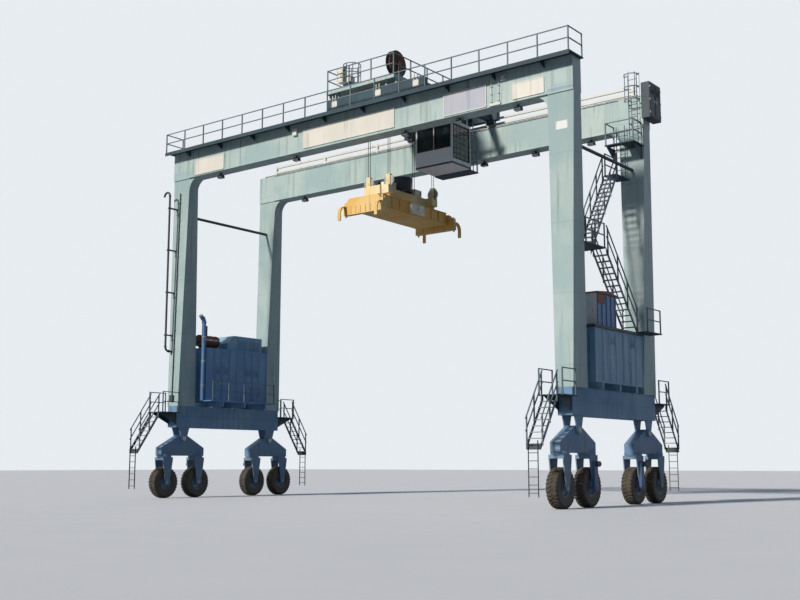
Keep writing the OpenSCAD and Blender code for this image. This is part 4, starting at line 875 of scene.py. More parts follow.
def makeGirderFittings():
    shape = bmesh.new()
    face = wall("front", 0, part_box("girder_front")[0].y + girderTrim["face"])
    foot, head = girderTrim["foot"], girderTrim["head"]
    for x in girderTrim["conduits"]:
        path = [face(x, foot, 0.03), face(x, head, 0.03), face(x + 0.16, head, 0.03)]
        addTube(shape, route(path, 0.06), 0.02, 10, 0)
        for z in girderTrim["clips"]:
            addSlab(shape, face, (x - 0.045, z, 0), (x + 0.045, z + 0.03, 0.055), 1)
    for panel, finish in (("footBox", 0), ("headBox", 0), ("lampBox", 0), ("bar", 2)):
        low, high, depth = girderTrim[panel]
        addSlab(shape, face, (*low, 0), (*high, depth), finish)
    addBorder(shape, raised(face, girderTrim["headBox"][2]), *girderTrim["lid"], 0.02, 0.008, 1)
    leg = wall("front", 0, girderTrim["leg"])
    (a0, b0), (a1, b1) = girderTrim["plate"]
    depth, inset = girderTrim["plateDepth"], girderTrim["boltInset"]
    addSlab(shape, leg, (a0, b0, -0.02), (a1, b1, depth), 3)
    corners = [(a, b) for a in (a0 + inset, a1 - inset) for b in (b0 + inset, b1 - inset)]
    addBolts(shape, raised(leg, depth), corners, 0.012, 0.008, 1)
    finishPiece(shape, "girderFittings", ("whitePaint", "railPaint", "bandPaint", "cabinPaint"), "portal",
                0.003)


# a thin conduit beside the pipe on the front left leg, the bolts of the pipe's clamps and its flanges
legTrim = {"conduit": -11.78, "foot": 5.3, "steps": 23, "clipFoot": 5.8, "clips": 11, "pipe": -12.05,
           "flanges": (16.112, 7.912), "clamps": (8.53, 10.83, 13.13, 15.43)}


# the leg tapers: its front face at a height
def legFace(height):
    share = (height - 4.78) / 12.27
    return -(3.2 + 0.1 * share) - (1.2 - 0.6 * share) / 2


def makeLegConduits():
    shape = bmesh.new()
    x, foot = legTrim["conduit"], legTrim["foot"]
    path = [(x, legFace(z) - 0.045, z) for z in [foot + 0.5 * i for i in range(legTrim["steps"])]]
    addTube(shape, path, 0.028, 10, 0)
    for z in [legTrim["clipFoot"] + 1.0 * i for i in range(legTrim["clips"])]:
        y = legFace(z)
        addBlock(shape, (x - 0.06, y - 0.08, z), (x + 0.06, y + 0.01, z + 0.035), 1)
    y = legFace(foot)
    addBlock(shape, (x - 0.13, y - 0.12, foot - 0.28), (x + 0.13, y + 0.005, foot + 0.04), 0)
    x, y = legTrim["pipe"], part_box("leg_pipe")[0].y + 0.08
    bolts = pattern("ring", boltShape(0.009, 0.016), "bareSteel", Count=6, Radius=0.068)
    for top in legTrim["flanges"]:
        for z in (top, top - 0.04):
            addMesh(shape, bolts, 1, Matrix.Translation((x, y, z)))
    for z in legTrim["clamps"]:
        for side in (-1, 1):
            ear, bolt = x + side * 0.105, x + side * 0.11
            addBlock(shape, (ear - 0.03, y - 0.012, z - 0.03), (ear + 0.03, y + 0.012, z + 0.03), 0)
            addTube(shape, [(bolt, y - 0.028, z), (bolt, y + 0.028, z)], 0.011, 6, 1)
    finishPiece(shape, "legConduits", ("darkPaint", "bareSteel"), "portal", 0.002)


# clips that hold the trolley rails on the girders
railClip = {"pitch": 0.6, "start": 0.3, "rail": 3.1, "offset": 0.125}


def makeRailClips():
    clip = bmesh.new()
    addPrism(clip, [(-0.05, 0), (0.05, 0), (0.05, 0.02), (0.0, 0.045), (-0.05, 0.045)], "yz", -0.045, 0.045)
    addPrism(clip, circle(6, 0.014), "xy", 0.03, 0.07)
    low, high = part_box("trolley_rails")
    pitch, start = railClip["pitch"], low.x + railClip["start"]
    count = int((high.x - low.x - 2 * railClip["start"]) / pitch)
    row = pattern("row", clip, "bareSteel", Count=count, Start=(0.0, 0.0, 0.0), Step=(pitch, 0.0, 0.0))
    shape = bmesh.new()
    for side in (-1, 1):
        for edge, first, angle in ((-1, start + pitch * (count - 1), math.pi), (1, start, 0.0)):
            shift = Matrix.Translation((first, side * railClip["rail"] + edge * railClip["offset"], low.z))
            addMesh(shape, row, 0, shift @ Matrix.Rotation(angle, 4, "Z"))
    finishPiece(shape, "railClips", "bareSteel", "portal")


# the two houses and the plenum: bays of doors between posts, louvres and lifting eyes
bay = {"post": 0.06, "gap": 0.012, "doorFoot": 5.12}
electricalHouse = {"middle": 11.675, "halfX": 0.625, "halfY": 2.225, "bays": 7, "doors": (1, 2, 4, 5),
                   "vents": (2, 5), "doorHead": 7.22,
                   "roof": 7.41, "eyes": [(x, y) for y in (-2.0, 2.0) for x in (11.2, 12.15)]}
powerHouse = {"middle": -11.835, "halfX": 0.95, "halfY": 2.3, "bays": 8, "doors": (1, 2, 5, 6),
              "doorHead": 7.1}
plenum = {"middle": -11.835, "halfX": 0.675, "halfY": 2.15, "foot": 8.08, "head": 8.7}


def houseWalls(house):
    x, halfX, halfY = house["middle"], house["halfX"], house["halfY"]
    return wall("right", x + halfX), wall("left", x - halfX), wall("front", x, -halfY), wall("rear", x, halfY)


# number, start and end of each bay between the posts, and which side its door hangs on
def baysOf(house):
    pitch = (2 * house["halfY"] - bay["post"]) / house["bays"]
    firsts = (house["doors"][0], house["doors"][2])
    for i in range(house["bays"]):
        a = -house["halfY"] + bay["post"] + pitch * i
        yield i, a + bay["gap"], a + pitch - bay["post"] - bay["gap"], "left" if i in firsts else "right"


def makeHouseFittings():
    shape = bmesh.new()
    right, left, front, rear = houseWalls(electricalHouse)
    foot, head = bay["doorFoot"], electricalHouse["doorHead"]
    for i, start, end, hinge in baysOf(electricalHouse):
        if i in electricalHouse["doors"]:
            addDoor(shape, right, (start, foot), (end, head), 0, 2, hinge, i in electricalHouse["vents"])
            addDoor(shape, left, (-end, foot), (-start, head), 0, 2, hinge)
    addDoor(shape, front, (-0.4, foot), (0.4, 7.1), 0, 2)
    addLouvre(shape, rear, (-0.45, 5.5), (0.45, 6.7), 0)
    for x, y in electricalHouse["eyes"]:
        roof = wall("front", x, y, electricalHouse["roof"])
        addTube(shape, route([roof(-0.05, 0, 0), roof(-0.05, 0.09, 0), roof(0.05, 0.09, 0), roof(0.05, 0, 0)],
                             0.03),
                0.012, 8, 2)
    finishPiece(shape, "electricalHouseFittings", ("housePaint", "whitePaint", "bareSteel"), "portal",
                0.002)
    shape = bmesh.new()
    inner, outer, front, rear = houseWalls(powerHouse)
    for i, start, end, hinge in baysOf(powerHouse):
        if i in powerHouse["doors"]:
            addDoor(shape, inner, (start, foot), (end, powerHouse["doorHead"]), 0, 1, hinge)
        addLouvre(shape, outer, (start + 0.008, 5.5 if i % 2 else 6.4), (end - 0.008, 7.4), 0)
    addLouvre(shape, rear, (-0.75, 5.35), (0.75, 7.55), 0)
    addBorder(shape, rear, (-0.82, 5.28), (0.82, 7.62), 0.05, 0.03, 0)
    addDoor(shape, front, (-0.55, 5.2), (0.35, 7.3), 0, 1)
    finishPiece(shape, "powerHouseFittings", ("powerPaint", "bareSteel"), "portal", 0.002)
    shape = bmesh.new()
    inner, outer, front, rear = houseWalls(plenum)
    for at, start, end in ((inner, 0.25, 1.0), (inner, 1.15, 1.95), (outer, -1.9, -0.25),
                           (rear, -0.55, 0.55)):
        addLouvre(shape, at, (start, plenum["foot"]), (end, plenum["head"]), 0)
    finishPiece(shape, "plenumLouvres", "skyPaint", "portal", 0.002)


# the cabinet on the electrical house: ribs and door under a brown top, with painted shade: its walls facing X
# and their ribs are painted dark blue on the white cabinet
roofCabinet = {"insetX": 0.07, "insetY": 0.08, "top": 0.16, "eaves": 0.2, "ribs": 5, "rib": 0.05,
               "ribDepth": 0.03}


def makeRoofCabinet():
    low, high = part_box("roof_cabinet")
    x0, x1 = low.x + roofCabinet["insetX"], high.x - roofCabinet["insetX"]
    y0, y1 = low.y + roofCabinet["insetY"], high.y - roofCabinet["insetY"]
    eaves, rib, depth = high.z - roofCabinet["eaves"], roofCabinet["rib"], roofCabinet["ribDepth"]
    shape = copyNode("roof_cabinet")
    paintBox(shape, (low.x - 1, low.y - 1, high.z - roofCabinet["top"]), (high.x + 1, high.y + 1, high.z + 1),
             1)
    # painted shade: the two walls facing X and, below, their ribs take machine blue, darker than the white
    # wall with the door
    for x in (x0, x1):
        paintBox(shape, (x - 0.011, low.y, low.z), (x + 0.011, high.y, eaves), 2)
    right, left, front = wall("right", x1), wall("left", x0), wall("front", 0, y0)
    for i in range(roofCabinet["ribs"]):
        y = y0 + 0.03 + (y1 - y0 - 0.09) * i / (roofCabinet["ribs"] - 1)
        addSlab(shape, right, (y, low.z + 0.02, 0), (y + rib, eaves, depth), 2)
        addSlab(shape, left, (-y - rib, low.z + 0.02, 0), (-y, eaves, depth), 2)
    addSlab(shape, right, (y0 + 0.02, high.z - 0.56, 0), (y0 + 0.62, eaves, 0.06), 1)
    addDoor(shape, front, (x0 + 0.08, low.z + 0.06), (x1 - 0.08, high.z - 0.24), 0, 3)
    finishPiece(shape, "roofCabinet", ("cabinPaint", "brownPaint", "machineBlue", "bareSteel"), "portal",
                0.004, replaces=("roof_cabinet",))


# straps, end caps and flange bolts of the silencer and the stack
exhaust = {"stack": (-10.995, -2.4103), "silencer": (-11.835, 8.4), "straps": (-1.95, -1.62, -1.2, -0.86),
           "caps": ((-2.05, -1), (-0.75, 1)), "rainCap": (-11.835, -1.5, 9.235), "flanges": (9.312, 9.272),
           "bands": (5.9, 7.2, 8.5), "houseTop": 7.9}


def bandProfile(inner, outer, half):
    return [(inner, -half), (outer, -half), (outer, half), (inner, half)]


def makeExhaust():
    shape = copyNode("exhaust")
    paintBox(shape, (-11.15, -3.6, 4.9), (-10.6, -2.25, 10.2), 1)
    x, z = exhaust["silencer"]
    for y in exhaust["straps"]:
        addLathe(shape, bandProfile(0.322, 0.332, 0.02), (x, y, z), (0, 1, 0), 64, 2, closed=True)
    for y, way in exhaust["caps"]:
        addLathe(shape, [(0.0, 0.0), (0.24, 0.0), (0.235, 0.018), (0.2, 0.03), (0.0, 0.034)], (x, y, z),
                 (0, way, 0), 48, 0)
    addLathe(shape, [(0.0, 0.0), (0.1, 0.0), (0.1, 0.008), (0.02, 0.03), (0.0, 0.03)], exhaust["rainCap"],
             (0.3, 0, 1), 32, 0)
    bolt = pattern("ring", boltShape(0.014, 0.016), "bareSteel", Count=10, Radius=0.122)
    x, y = exhaust["stack"]
    for z in exhaust["flanges"]:
        addMesh(shape, bolt, 3, Matrix.Translation((x, y, z)))
    for z in exhaust["bands"]:
        addLathe(shape, bandProfile(0.112, 0.122, 0.03), (x, y, z), (0, 0, 1), 48, 3, closed=True)
        if z < exhaust["houseTop"]:
            addBlock(shape, (x - 0.035, y + 0.0803, z - 0.025), (x + 0.035, y + 0.1123, z + 0.025), 3)
    finishPiece(shape, "exhaustPipes", ("rustySteel", "machineBlue", "brownPaint", "bareSteel"), "portal",
                0.003, replaces=("exhaust",))


endCabinet = {"middle": 3.4, "door": 0.56, "gap": 0.01, "foot": 1.66, "head": 0.04}


def makeEndCabinet():
    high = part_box("end_cabinet")[1]
    shape = bmesh.new()
    right, middle = wall("right", high.x), endCabinet["middle"]
    foot, head = high.z - endCabinet["foot"], high.z - endCabinet["head"]
    addDoor(shape, right, (middle - endCabinet["door"], foot), (middle - endCabinet["gap"], head), 0, 1,
            "left")
    addDoor(shape, right, (middle + endCabinet["gap"], foot), (middle + endCabinet["door"], head), 0, 1,
            "right")
    finishPiece(shape, "endCabinetDoors", ("darkPaint", "bareSteel"), "portal", 0.002)


# end plates, keeper plates and bolts on the bogie pins
keeper = {"bolts": 6, "boltCircle": 0.08, "low": (-0.13, 0.1), "high": (0.13, 0.17), "depth": 0.034,
          "set": 0.03,
          "screws": [(-0.09, 0.135), (0.09, 0.135)]}


def makePinKeepers():
    shape = bmesh.new()
    for low, high in looseBoxes(copyNode("bogie_pins")):
        middle = (low + high) / 2
        for name, x, side in (("right", high.x, 1), ("left", low.x, -1)):
            at = wall(name, x, middle.y, middle.z)
            addBolts(shape, at, circle(keeper["bolts"], keeper["boltCircle"]), 0.014, 0.014, 1)
            plate = wall(name, x - side * keeper["set"], middle.y, middle.z)
            addSlab(shape, plate, (*keeper["low"], 0), (*keeper["high"], keeper["depth"]), 0)
            addBolts(shape, raised(plate, keeper["depth"]), keeper["screws"], 0.016, 0.014, 1)
    finishPiece(shape, "pinKeepers", ("sillPaint", "bareSteel"), "portal", 0.003)


# the travel drives: a closed chain case with its motor on the outer plate of every second fork
drive = {"forks": (2, 4, 6, 8), "plate": 0.3405, "depth": 0.1, "reach": 0.93, "lower": 0.17, "upper": 0.13,
         "steps": 16, "fins": 24}


def makeDrives():
    plate, reach = drive["plate"], drive["reach"]
    end = plate + drive["depth"]
    half = [math.pi * k / drive["steps"] for k in range(drive["steps"] + 1)]
    finShape = blockShape((-0.01, -0.004, 0.0), (0.014, 0.004, 0.12))
    fins = pattern("ring", finShape, "darkPaint", Count=drive["fins"], Radius=0.1)
    for n in drive["forks"]:
        hub = middleOf(f"wheel_{n}")
        out = 1 if hub.x > 0 else -1
        at = wall("right" if out > 0 else "left", *hub)
        axis = (out, 0, 0)
        shape = bmesh.new()
        for c0, c1, grow in ((plate, end, 0.0), (plate + 0.045, plate + 0.055, 0.02)):
            lower, upper = drive["lower"] + grow, drive["upper"] + grow
            outline = [(lower * math.cos(math.pi + t), lower * math.sin(math.pi + t)) for t in half]
            outline += [(upper * math.cos(t), reach + upper * math.sin(t)) for t in half]
            skin(shape, [[shape.verts.new(at(a, b, c)) for a, b in outline] for c in (c0, c1)])
        addLathe(shape, [(0.0, 0.0), (0.1, 0.0), (0.095, 0.02), (0.06, 0.026), (0.0, 0.03)], at(0, 0, end),
                 axis, 32, 0)
        addBolts(shape, raised(at, end), circle(8, 0.135), 0.014, 0.012, 1)
        sides = [(a, b) for a in (-0.115, 0.115) for b in (0.3, 0.55, 0.8)]
        addBolts(shape, raised(at, end), sides, 0.012, 0.01, 1)
        addLathe(shape, [(0.0, 0.0), (0.12, 0.0), (0.12, 0.03), (0.1, 0.035), (0.1, 0.17), (0.085, 0.19),
                         (0.0, 0.19)],
                 at(0, reach, end), axis, 40, 2)
        turn = Vector((0, 0, 1)).rotation_difference(Vector(axis)).to_matrix().to_4x4()
        addMesh(shape, fins, 2, Matrix.Translation(at(0, reach, end + 0.045)) @ turn)
        finishPiece(shape, f"travelDrive_{n}", ("machineBlue", "bareSteel", "darkPaint"), f"fork_{n}_body",
                    0.003)


# lighter treads between the stringers of each flight
stairs = {"treads": (11.265, 11.995, 11.735, -11.735)}


def makeStairs():
    shape = copyNode("stair_flights")
    for face in shape.faces:
        x = face.calc_center_median().x
        if any(abs(x - tread) < 0.01 for tread in stairs["treads"]):
            face.material_index = 1
    finishPiece(shape, "stairFlights", ("railPaint", "treadSteel"), "portal", 0.003,
                replaces=("stair_flights",))


# the drum, gearbox, motor and cable reel of the hoist
hoist = {"drum": (0.25, 0.0, 20.09), "rope": 0.412, "ropeStart": 1.3, "turns": 11, "steps": 28, "pitch": 0.08,
         "bearing": 1.8, "flange": 1.4, "motor": (1.3, 20.03), "motorFins": 40,
         "gearbox": ((0.85, 1.1, 19.47), (1.75, 1.86, 20.52)), "split": 20.0, "reel": (2.25, 0.65),
         "coils": 8}


def makeHoist():
    shape = copyNode("hoist_machinery")
    lowest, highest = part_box("hoist_machinery")
    paintBox(shape, (-1, -1.73, 19.6), (0.73, 1.73, 20.6), 0)
    for y in (-hoist["bearing"], hoist["bearing"]):
        paintBox(shape, (-1, y - 0.0801, 19), (0.7, y + 0.0801, 21), 1)
    low, high = [Vector(corner) for corner in hoist["gearbox"]]
    margin = Vector((0.001, 0.001, 0.001))
    paintBox(shape, low - margin, high + margin, 1)
    paintBox(shape, (1.0, -0.95, 19.4), (1.6, 1.09, 20.4), 2)
    rx, reelRadius = hoist["reel"]
    ry, rz = lowest.y + reelRadius, highest.z - reelRadius
    paintBox(shape, (1.9, lowest.y - 0.01, 19.9), (2.6, ry + 0.7, 21.5), 3)
    x, y, z = hoist["drum"]
    for way in (1, -1):
        points = []
        for i in range(hoist["turns"] * hoist["steps"] + 1):
            angle = 2 * math.pi * i / hoist["steps"]
            along = -way * hoist["ropeStart"] + way * hoist["pitch"] * i / hoist["steps"]
            points.append((x + hoist["rope"] * math.cos(angle), along, z + hoist["rope"] * math.sin(angle)))
        addTube(shape, points, 0.016, 6, 4)
    spokes = pattern("ring", blockShape((-0.12, -0.015, 0.0), (0.12, 0.015, 0.03)), "machineBlue", Count=8,
                     Radius=0.26)
    flangeBolts = pattern("ring", boltShape(0.018, 0.02), "bareSteel", Count=16, Radius=0.43)
    for way in (-1, 1):
        place = (Matrix.Translation((x, way * hoist["flange"], z))
                 @ Matrix.Rotation(-way * math.pi / 2, 4, "X"))
        addMesh(shape, spokes, 1, place)
        addMesh(shape, flangeBolts, 4, place)
        addLathe(shape, [(0.0, 0.0), (0.15, 0.0), (0.145, 0.03), (0.1, 0.04), (0.0, 0.04)],
                 (x, way * (hoist["bearing"] + 0.08), z), (0, way, 0), 40, 1)
    mx, mz = hoist["motor"]
    fins = pattern("ring", blockShape((-0.01, -0.005, 0.0), (0.03, 0.005, 1.25)), "darkPaint",
                   Count=hoist["motorFins"], Radius=0.26)
    addMesh(shape, fins, 2, Matrix.Translation((mx, -0.45, mz)) @ Matrix.Rotation(-math.pi / 2, 4, "X"))
    addLathe(shape, [(0.0, 0.0), (0.16, 0.0), (0.27, 0.03), (0.275, 0.3), (0.26, 0.31), (0.0, 0.31)],
             (mx, -0.93, mz), (0, 1, 0), 48, 2)
    addBlock(shape, (mx - 0.14, -0.1, mz + 0.25), (mx + 0.14, 0.24, mz + 0.4), 2)
    split = hoist["split"]
    addBlock(shape, (low.x - 0.03, low.y - 0.03, split), (high.x + 0.03, high.y + 0.03, split + 0.05), 1)
    addBolts(shape, deck(low.x, low.y, split + 0.05), [(-0.015 + 0.93 * i / 9, b) for i in range(10)
                                                       for b in (-0.015, 0.775)],
             0.012, 0.02, 4)
    addSlab(shape, deck(low.x, low.y, high.z), (0.25, 0.2, 0), (0.65, 0.56, 0.02), 1)
    profile = [(0.3, -0.09)]
    for foot in [-0.09 + 0.0225 * i for i in range(hoist["coils"])]:
        profile += [(0.5, foot + 0.003), (0.515, foot + 0.011), (0.5, foot + 0.02)]
    addLathe(shape, profile + [(0.3, 0.09)], (rx, ry, rz), (1, 0, 0), 48, 5)
    ribs = pattern("ring", blockShape((-0.28, -0.02, 0.0), (0.28, 0.02, 0.02)), "rustySteel", Count=12,
                   Radius=0.35)
    for way in (-1, 1):
        turn = Matrix.Rotation(way * math.pi / 2, 4, "Y")
        addMesh(shape, ribs, 3, Matrix.Translation((rx + way * 0.122, ry, rz)) @ turn)
    finishPiece(shape, "hoistMachinery", ("bareSteel", "machineBlue", "darkPaint", "rustySteel", "wireRope",
                                          "gasket"),
                "trolley", replaces=("hoist_machinery",))


# pale bearing plates over the trolley wheels, each with two stays and four bolts
bearing = {"side": 3.25, "places": (-1.05, 1.7, 3.95), "half": 0.17, "foot": 19.08, "head": 19.4,
           "depth": 0.025,
           "stayHead": 19.68}


def makeTrolleyFittings():
    shape = bmesh.new()
    foot, head, depth = bearing["foot"], bearing["head"], bearing["depth"]
    for name, way in (("front", 1), ("rear", -1)):
        at = wall(name, 0, -way * bearing["side"])
        for a in [way * x for x in bearing["places"]]:
            addSlab(shape, at, (a - bearing["half"], foot, 0), (a + bearing["half"], head, depth), 0)
            for stay in (a - 0.09, a + 0.09):
                addSlab(shape, at, (stay - 0.02, head, 0), (stay + 0.02, bearing["stayHead"], 0.05), 0)
            corners = [(a + i, b) for i in (-0.13, 0.13) for b in (foot + 0.04, head - 0.04)]
            addBolts(shape, raised(at, depth), corners, 0.014, 0.014, 1)
    finishPiece(shape, "trolleyFittings", ("whitePaint", "bareSteel"), "trolley", 0.003)


# a cream switch box on the deck railing with its door, and the plates of the cabin platform
def makeTrolleyRailing():
    shape = copyNode("trolley_railing")
    paintBox(shape, (-0.52, -3.03, 20.18), (-0.22, -2.67, 20.63), 1)
    addDoor(shape, wall("left", -0.5), (2.72, 20.22), (2.98, 20.58), 1, 2, vent=False)
    paintBox(shape, (2.2, 0.5, 15.7), (4.5, 1.3, 15.86), 3)
    finishPiece(shape, "trolleyRailing", ("railPaint", "creamPaint", "bareSteel", "deckPaint"), "trolley",
                0.01, replaces=("trolley_railing",))


# the cream box that hangs on the lookout's rails
lookoutBox = {"low": (-1.09, -3.04, 20.4), "high": (-0.735, -2.7, 21.06), "rails": (20.73, 21.23),
              "strap": 0.07}


def makeLookoutBox():
    low, high = Vector(lookoutBox["low"]), Vector(lookoutBox["high"])
    shape = bmesh.new()
    addBlock(shape, low, high, 0)
    addBlock(shape, (low.x - 0.02, low.y - 0.02, high.z), (high.x + 0.01, high.y + 0.02, high.z + 0.02), 0)
    addDoor(shape, wall("front", 0, low.y), (low.x + 0.03, low.z + 0.05), (high.x - 0.03, high.z - 0.05), 0,
            1, vent=False)
    middle = (low.y + high.y) / 2
    start, end = middle - lookoutBox["strap"], middle + lookoutBox["strap"]
    for z in lookoutBox["rails"]:
        addBlock(shape, (high.x - 0.012, start, min(z, high.z) - 0.06), (high.x, end, z + 0.018), 1)
        addBlock(shape, (high.x, start, z - 0.018), (high.x + 0.03, end, z + 0.018), 1)
    finishPiece(shape, "lookoutBox", ("creamPaint", "bareSteel"), "trolley", 0.004)


# window frames, grid bars, door fittings, gutter and lamp of the cabin
cabin = {"pane": (2.15 - 0.39) / 2, "post": 0.13, "sill": 0.32, "lowHead": 0.85, "head": 1.95, "frame": 0.045,
         "bars": 4, "crossBars": 6, "handle": (-4.14, 16.85, 17.05), "hinges": (16.1, 16.9, 17.65),
         "hingeLine": -3.6,
         "wallIn": 0.03}


def makeCabin():
    shape = copyNode("cabin")
    low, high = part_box("cabin")
    high.y -= cabin["wallIn"]
    right, left = wall("right", high.x), wall("left", low.x)
    front, rear = wall("front", 0, low.y), wall("rear", 0, high.y)
    middle, pane, post, frameWidth = (low.x + high.x) / 2, cabin["pane"], cabin["post"], cabin["frame"]
    sill, lowHead, head = [low.z + cabin[key] for key in ("sill", "lowHead", "head")]
    openings = [(right, low.y + post, high.y - post, sill), (left, -high.y + post, -low.y - post, sill),
                (front, middle - post / 2 - pane, middle - post / 2, lowHead),
                (front, middle + post / 2, middle + post / 2 + pane, lowHead),
                (rear, -middle + post / 2, -middle + post / 2 + pane, lowHead)]
    for at, a0, a1, b0 in openings:
        addBorder(shape, at, (a0 - frameWidth, b0 - frameWidth), (a1 + frameWidth, head + frameWidth),
                  frameWidth, 0.014, 1)
        addBorder(shape, raised(at, -0.018), (a0 - 0.001, b0 - 0.001), (a1 + 0.001, head + 0.001), 0.02,
                  0.028, 1)
    at, a0, a1, b0 = openings[0]
    for i in range(1, cabin["bars"]):
        a = a0 + (a1 - a0) * i / cabin["bars"]
        addTube(shape, [at(a, b0 - 0.03, 0.03), at(a, head + 0.03, 0.03)], 0.012, 8, 3)
    for i in range(1, cabin["crossBars"]):
        b = b0 + (head - b0) * i / cabin["crossBars"]
        addTube(shape, [at(a0 - 0.03, b, 0.045), at(a1 + 0.03, b, 0.045)], 0.012, 8, 3)
    for at, start, end in ((right, low.y, high.y), (left, -high.y, -low.y), (front, low.x, high.x),
                           (rear, -high.x, -low.x)):
        addSlab(shape, at, (start - 0.015, high.z - 0.07, 0), (end + 0.015, high.z - 0.01, 0.018), 0)
        addSlab(shape, at, (start, low.z, 0), (end, low.z + 0.09, 0.012), 2)
    leaf = wall("rear", 0, high.y + cabin["wallIn"])
    a, b0, b1 = cabin["handle"]
    addHandle(shape, leaf, (a, b0), (a, b1), (0, 0.05), 0.02, 0.011, 8, 1)
    for z in cabin["hinges"]:
        line = cabin["hingeLine"]
        addTube(shape, [leaf(line, z - 0.06, 0.01), leaf(line, z + 0.06, 0.01)], 0.016, 10, 1)
    addBlock(shape, (low.x + 0.25, low.y + 0.2, high.z), (low.x + 0.65, high.y - 0.2, high.z + 0.06), 2)
    finishPiece(shape, "cabinShell", ("cabinPaint", "gasket", "darkPaint", "railPaint"), "trolley",
                0.004,
                replaces=("cabin",))
    finishPiece(copyNode("cabin_glass"), "cabinPanes", "glass", "trolley", replaces=("cabin_glass",))


# the load hangs about this place along X, and the headblock's plate lies this far over its foot
load = {"x": 0.6, "plate": 0.65}
sheave = {"x": 0.62, "y": 1.8, "lift": 0.2, "face": 0.09, "bolts": 6, "boltCircle": 0.09}
headBox = {"y": 1.05, "halfX": 0.24, "halfY": 0.3, "height": 0.36}
basket = {"radius": 0.52, "height": 0.7, "bearer": 0.06, "ribs": 16, "coils": 13, "steps": 24, "wire": 0.022}


def makeHeadblockFittings():
    shape = bmesh.new()
    x, top = load["x"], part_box("headblock")[0].z + load["plate"]
    rim = [(0.05, -0.045), (0.2, -0.045), (0.3, -0.04), (0.31, -0.03), (0.285, -0.012)]
    axle = top + sheave["lift"]
    for y in (-sheave["y"], sheave["y"]):
        for place in (x - sheave["x"], x + sheave["x"]):
            addLathe(shape, mirrored(rim), (place, y, axle), (0, 1, 0), 48, 4, closed=True)
            for side, name in ((-1, "front"), (1, "rear")):
                plate = wall(name, place, y + side * sheave["face"], axle)
                addBolts(shape, plate, circle(sheave["bolts"], sheave["boltCircle"]), 0.012, 0.012, 4)
    halfX, halfY = headBox["halfX"], headBox["halfY"]
    for y in (-headBox["y"], headBox["y"]):
        addBlock(shape, (x - halfX, y - halfY, top), (x + halfX, y + halfY, top + headBox["height"]), 1)
        addDoor(shape, wall("right", x + halfX, y, top), (-0.27, 0.03), (0.27, 0.33), 1, 4, vent=False)
        for foot in (x - 0.2, x + 0.2):
            addBlock(shape, (foot - 0.03, y - 0.34, top), (foot + 0.03, y + 0.34, top + 0.03), 4)
    radius, tall, base = basket["radius"], basket["height"], top + basket["bearer"]
    for y in (-0.3, 0.3):
        addBlock(shape, (x - 0.46, y - 0.05, top), (x + 0.46, y + 0.05, base + 0.004), 2)
    addLathe(shape, [(0.0, 0.0), (radius - 0.06, 0.0), (radius - 0.02, 0.06), (radius, tall),
                     (radius - 0.02, tall),
                     (radius - 0.04, 0.08), (0.0, 0.03)], (x, 0.0, base), (0, 0, 1), 48, 2)
    coil, steps = [], basket["steps"]
    for i in range(steps * basket["coils"]):
        r, t = radius - 0.09 - 0.02 * (i // steps % 2), 2 * math.pi * i / steps
        coil.append((x + r * math.cos(t), r * math.sin(t), base + 0.1 + 0.04 * i / steps))
    addTube(shape, coil, basket["wire"], 8, 3)
    feet, heads = circle(basket["ribs"], radius - 0.015), circle(basket["ribs"], radius + 0.005)
    for (a, b), (c, d) in zip(feet, heads):
        addTube(shape, [(x + a, b, base + 0.04), (x + c, d, base + tall + 0.01)], 0.012, 6, 2)
    finishPiece(shape, "headblockFittings", ("yellowPaint", "creamPaint", "darkPaint", "gasket", "bareSteel"),
                "hoisted_spreader", 0.004)


# the spreader frame's ribs and flanges, its control box with two doors, its valve box, bolts and pipes
spreader = {"ribs": (-2.5, -1.9, -1.3, 1.3, 1.9, 2.5), "half": 2.6, "flange": 0.025, "depth": 0.05,
            "box": 0.16,
            "pipes": (0.15, 1.05), "pipeHalf": 1.2, "clips": (-1.0, -0.5, 0.0, 0.5, 1.0), "boltRow": 2.45,
            "bolts": (-0.8, -0.55, -0.3, 0.3, 0.55, 0.8)}


def makeFrameFittings():
    shape = bmesh.new()
    low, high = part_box("spreader_frame")
    right, left = wall("right", high.x), wall("left", low.x)
    half, flange, depth = spreader["half"], spreader["flange"], spreader["depth"]
    for at, way in ((right, 1), (left, -1)):
        for y in spreader["ribs"]:
            addSlab(shape, at, (way * y - 0.012, low.z + 0.02, 0), (way * y + 0.012, high.z - 0.02, depth), 0)
        addSlab(shape, at, (-half, low.z, 0), (half, low.z + flange, depth), 0)
        addSlab(shape, at, (-half, high.z - flange, 0), (half, high.z, depth), 0)
    addSlab(shape, right, (-0.55, low.z + 0.06, 0), (0.55, high.z - 0.06, spreader["box"]), 1)
    for a in (-0.52, 0.01):
        addDoor(shape, raised(right, spreader["box"]), (a, low.z + 0.09), (a + 0.51, high.z - 0.09), 1, 2,
                vent=False)
    addSlab(shape, left, (-0.4, low.z + 0.1, 0), (0.4, high.z - 0.1, 0.14), 3)
    for y in (-spreader["boltRow"], spreader["boltRow"]):
        places = [(a, b) for a in spreader["bolts"] for b in (-0.08, 0.08)]
        addBolts(shape, deck(load["x"], y, high.z), places, 0.014, 0.014, 2)
    for x in spreader["pipes"]:
        ends = [(x, way * spreader["pipeHalf"], high.z + 0.03) for way in (-1, 1)]
        addTube(shape, ends, 0.02, 8, 3)
        for y in spreader["clips"]:
            addBlock(shape, (x - 0.04, y - 0.015, high.z), (x + 0.04, y + 0.015, high.z + 0.055), 2)
    finishPiece(shape, "spreaderFrameFittings", ("yellowPaint", "creamPaint", "bareSteel", "gasket"),
                "hoisted_spreader",
                0.003)


# on each sliding end: twistlock housings with their caps and collars, guide bolts and ribs
slideEnd = {"lock": (1.129, 2.897), "housing": (14.02, 14.2), "collar": (2.927, 13.51),
            "guide": (3.057, 13.64),
            "guideFace": 0.085, "out": 3.017, "ribs": (-0.75, -0.45, -0.15, 0.15, 0.45, 0.75),
            "rib": (13.66, 14.0)}


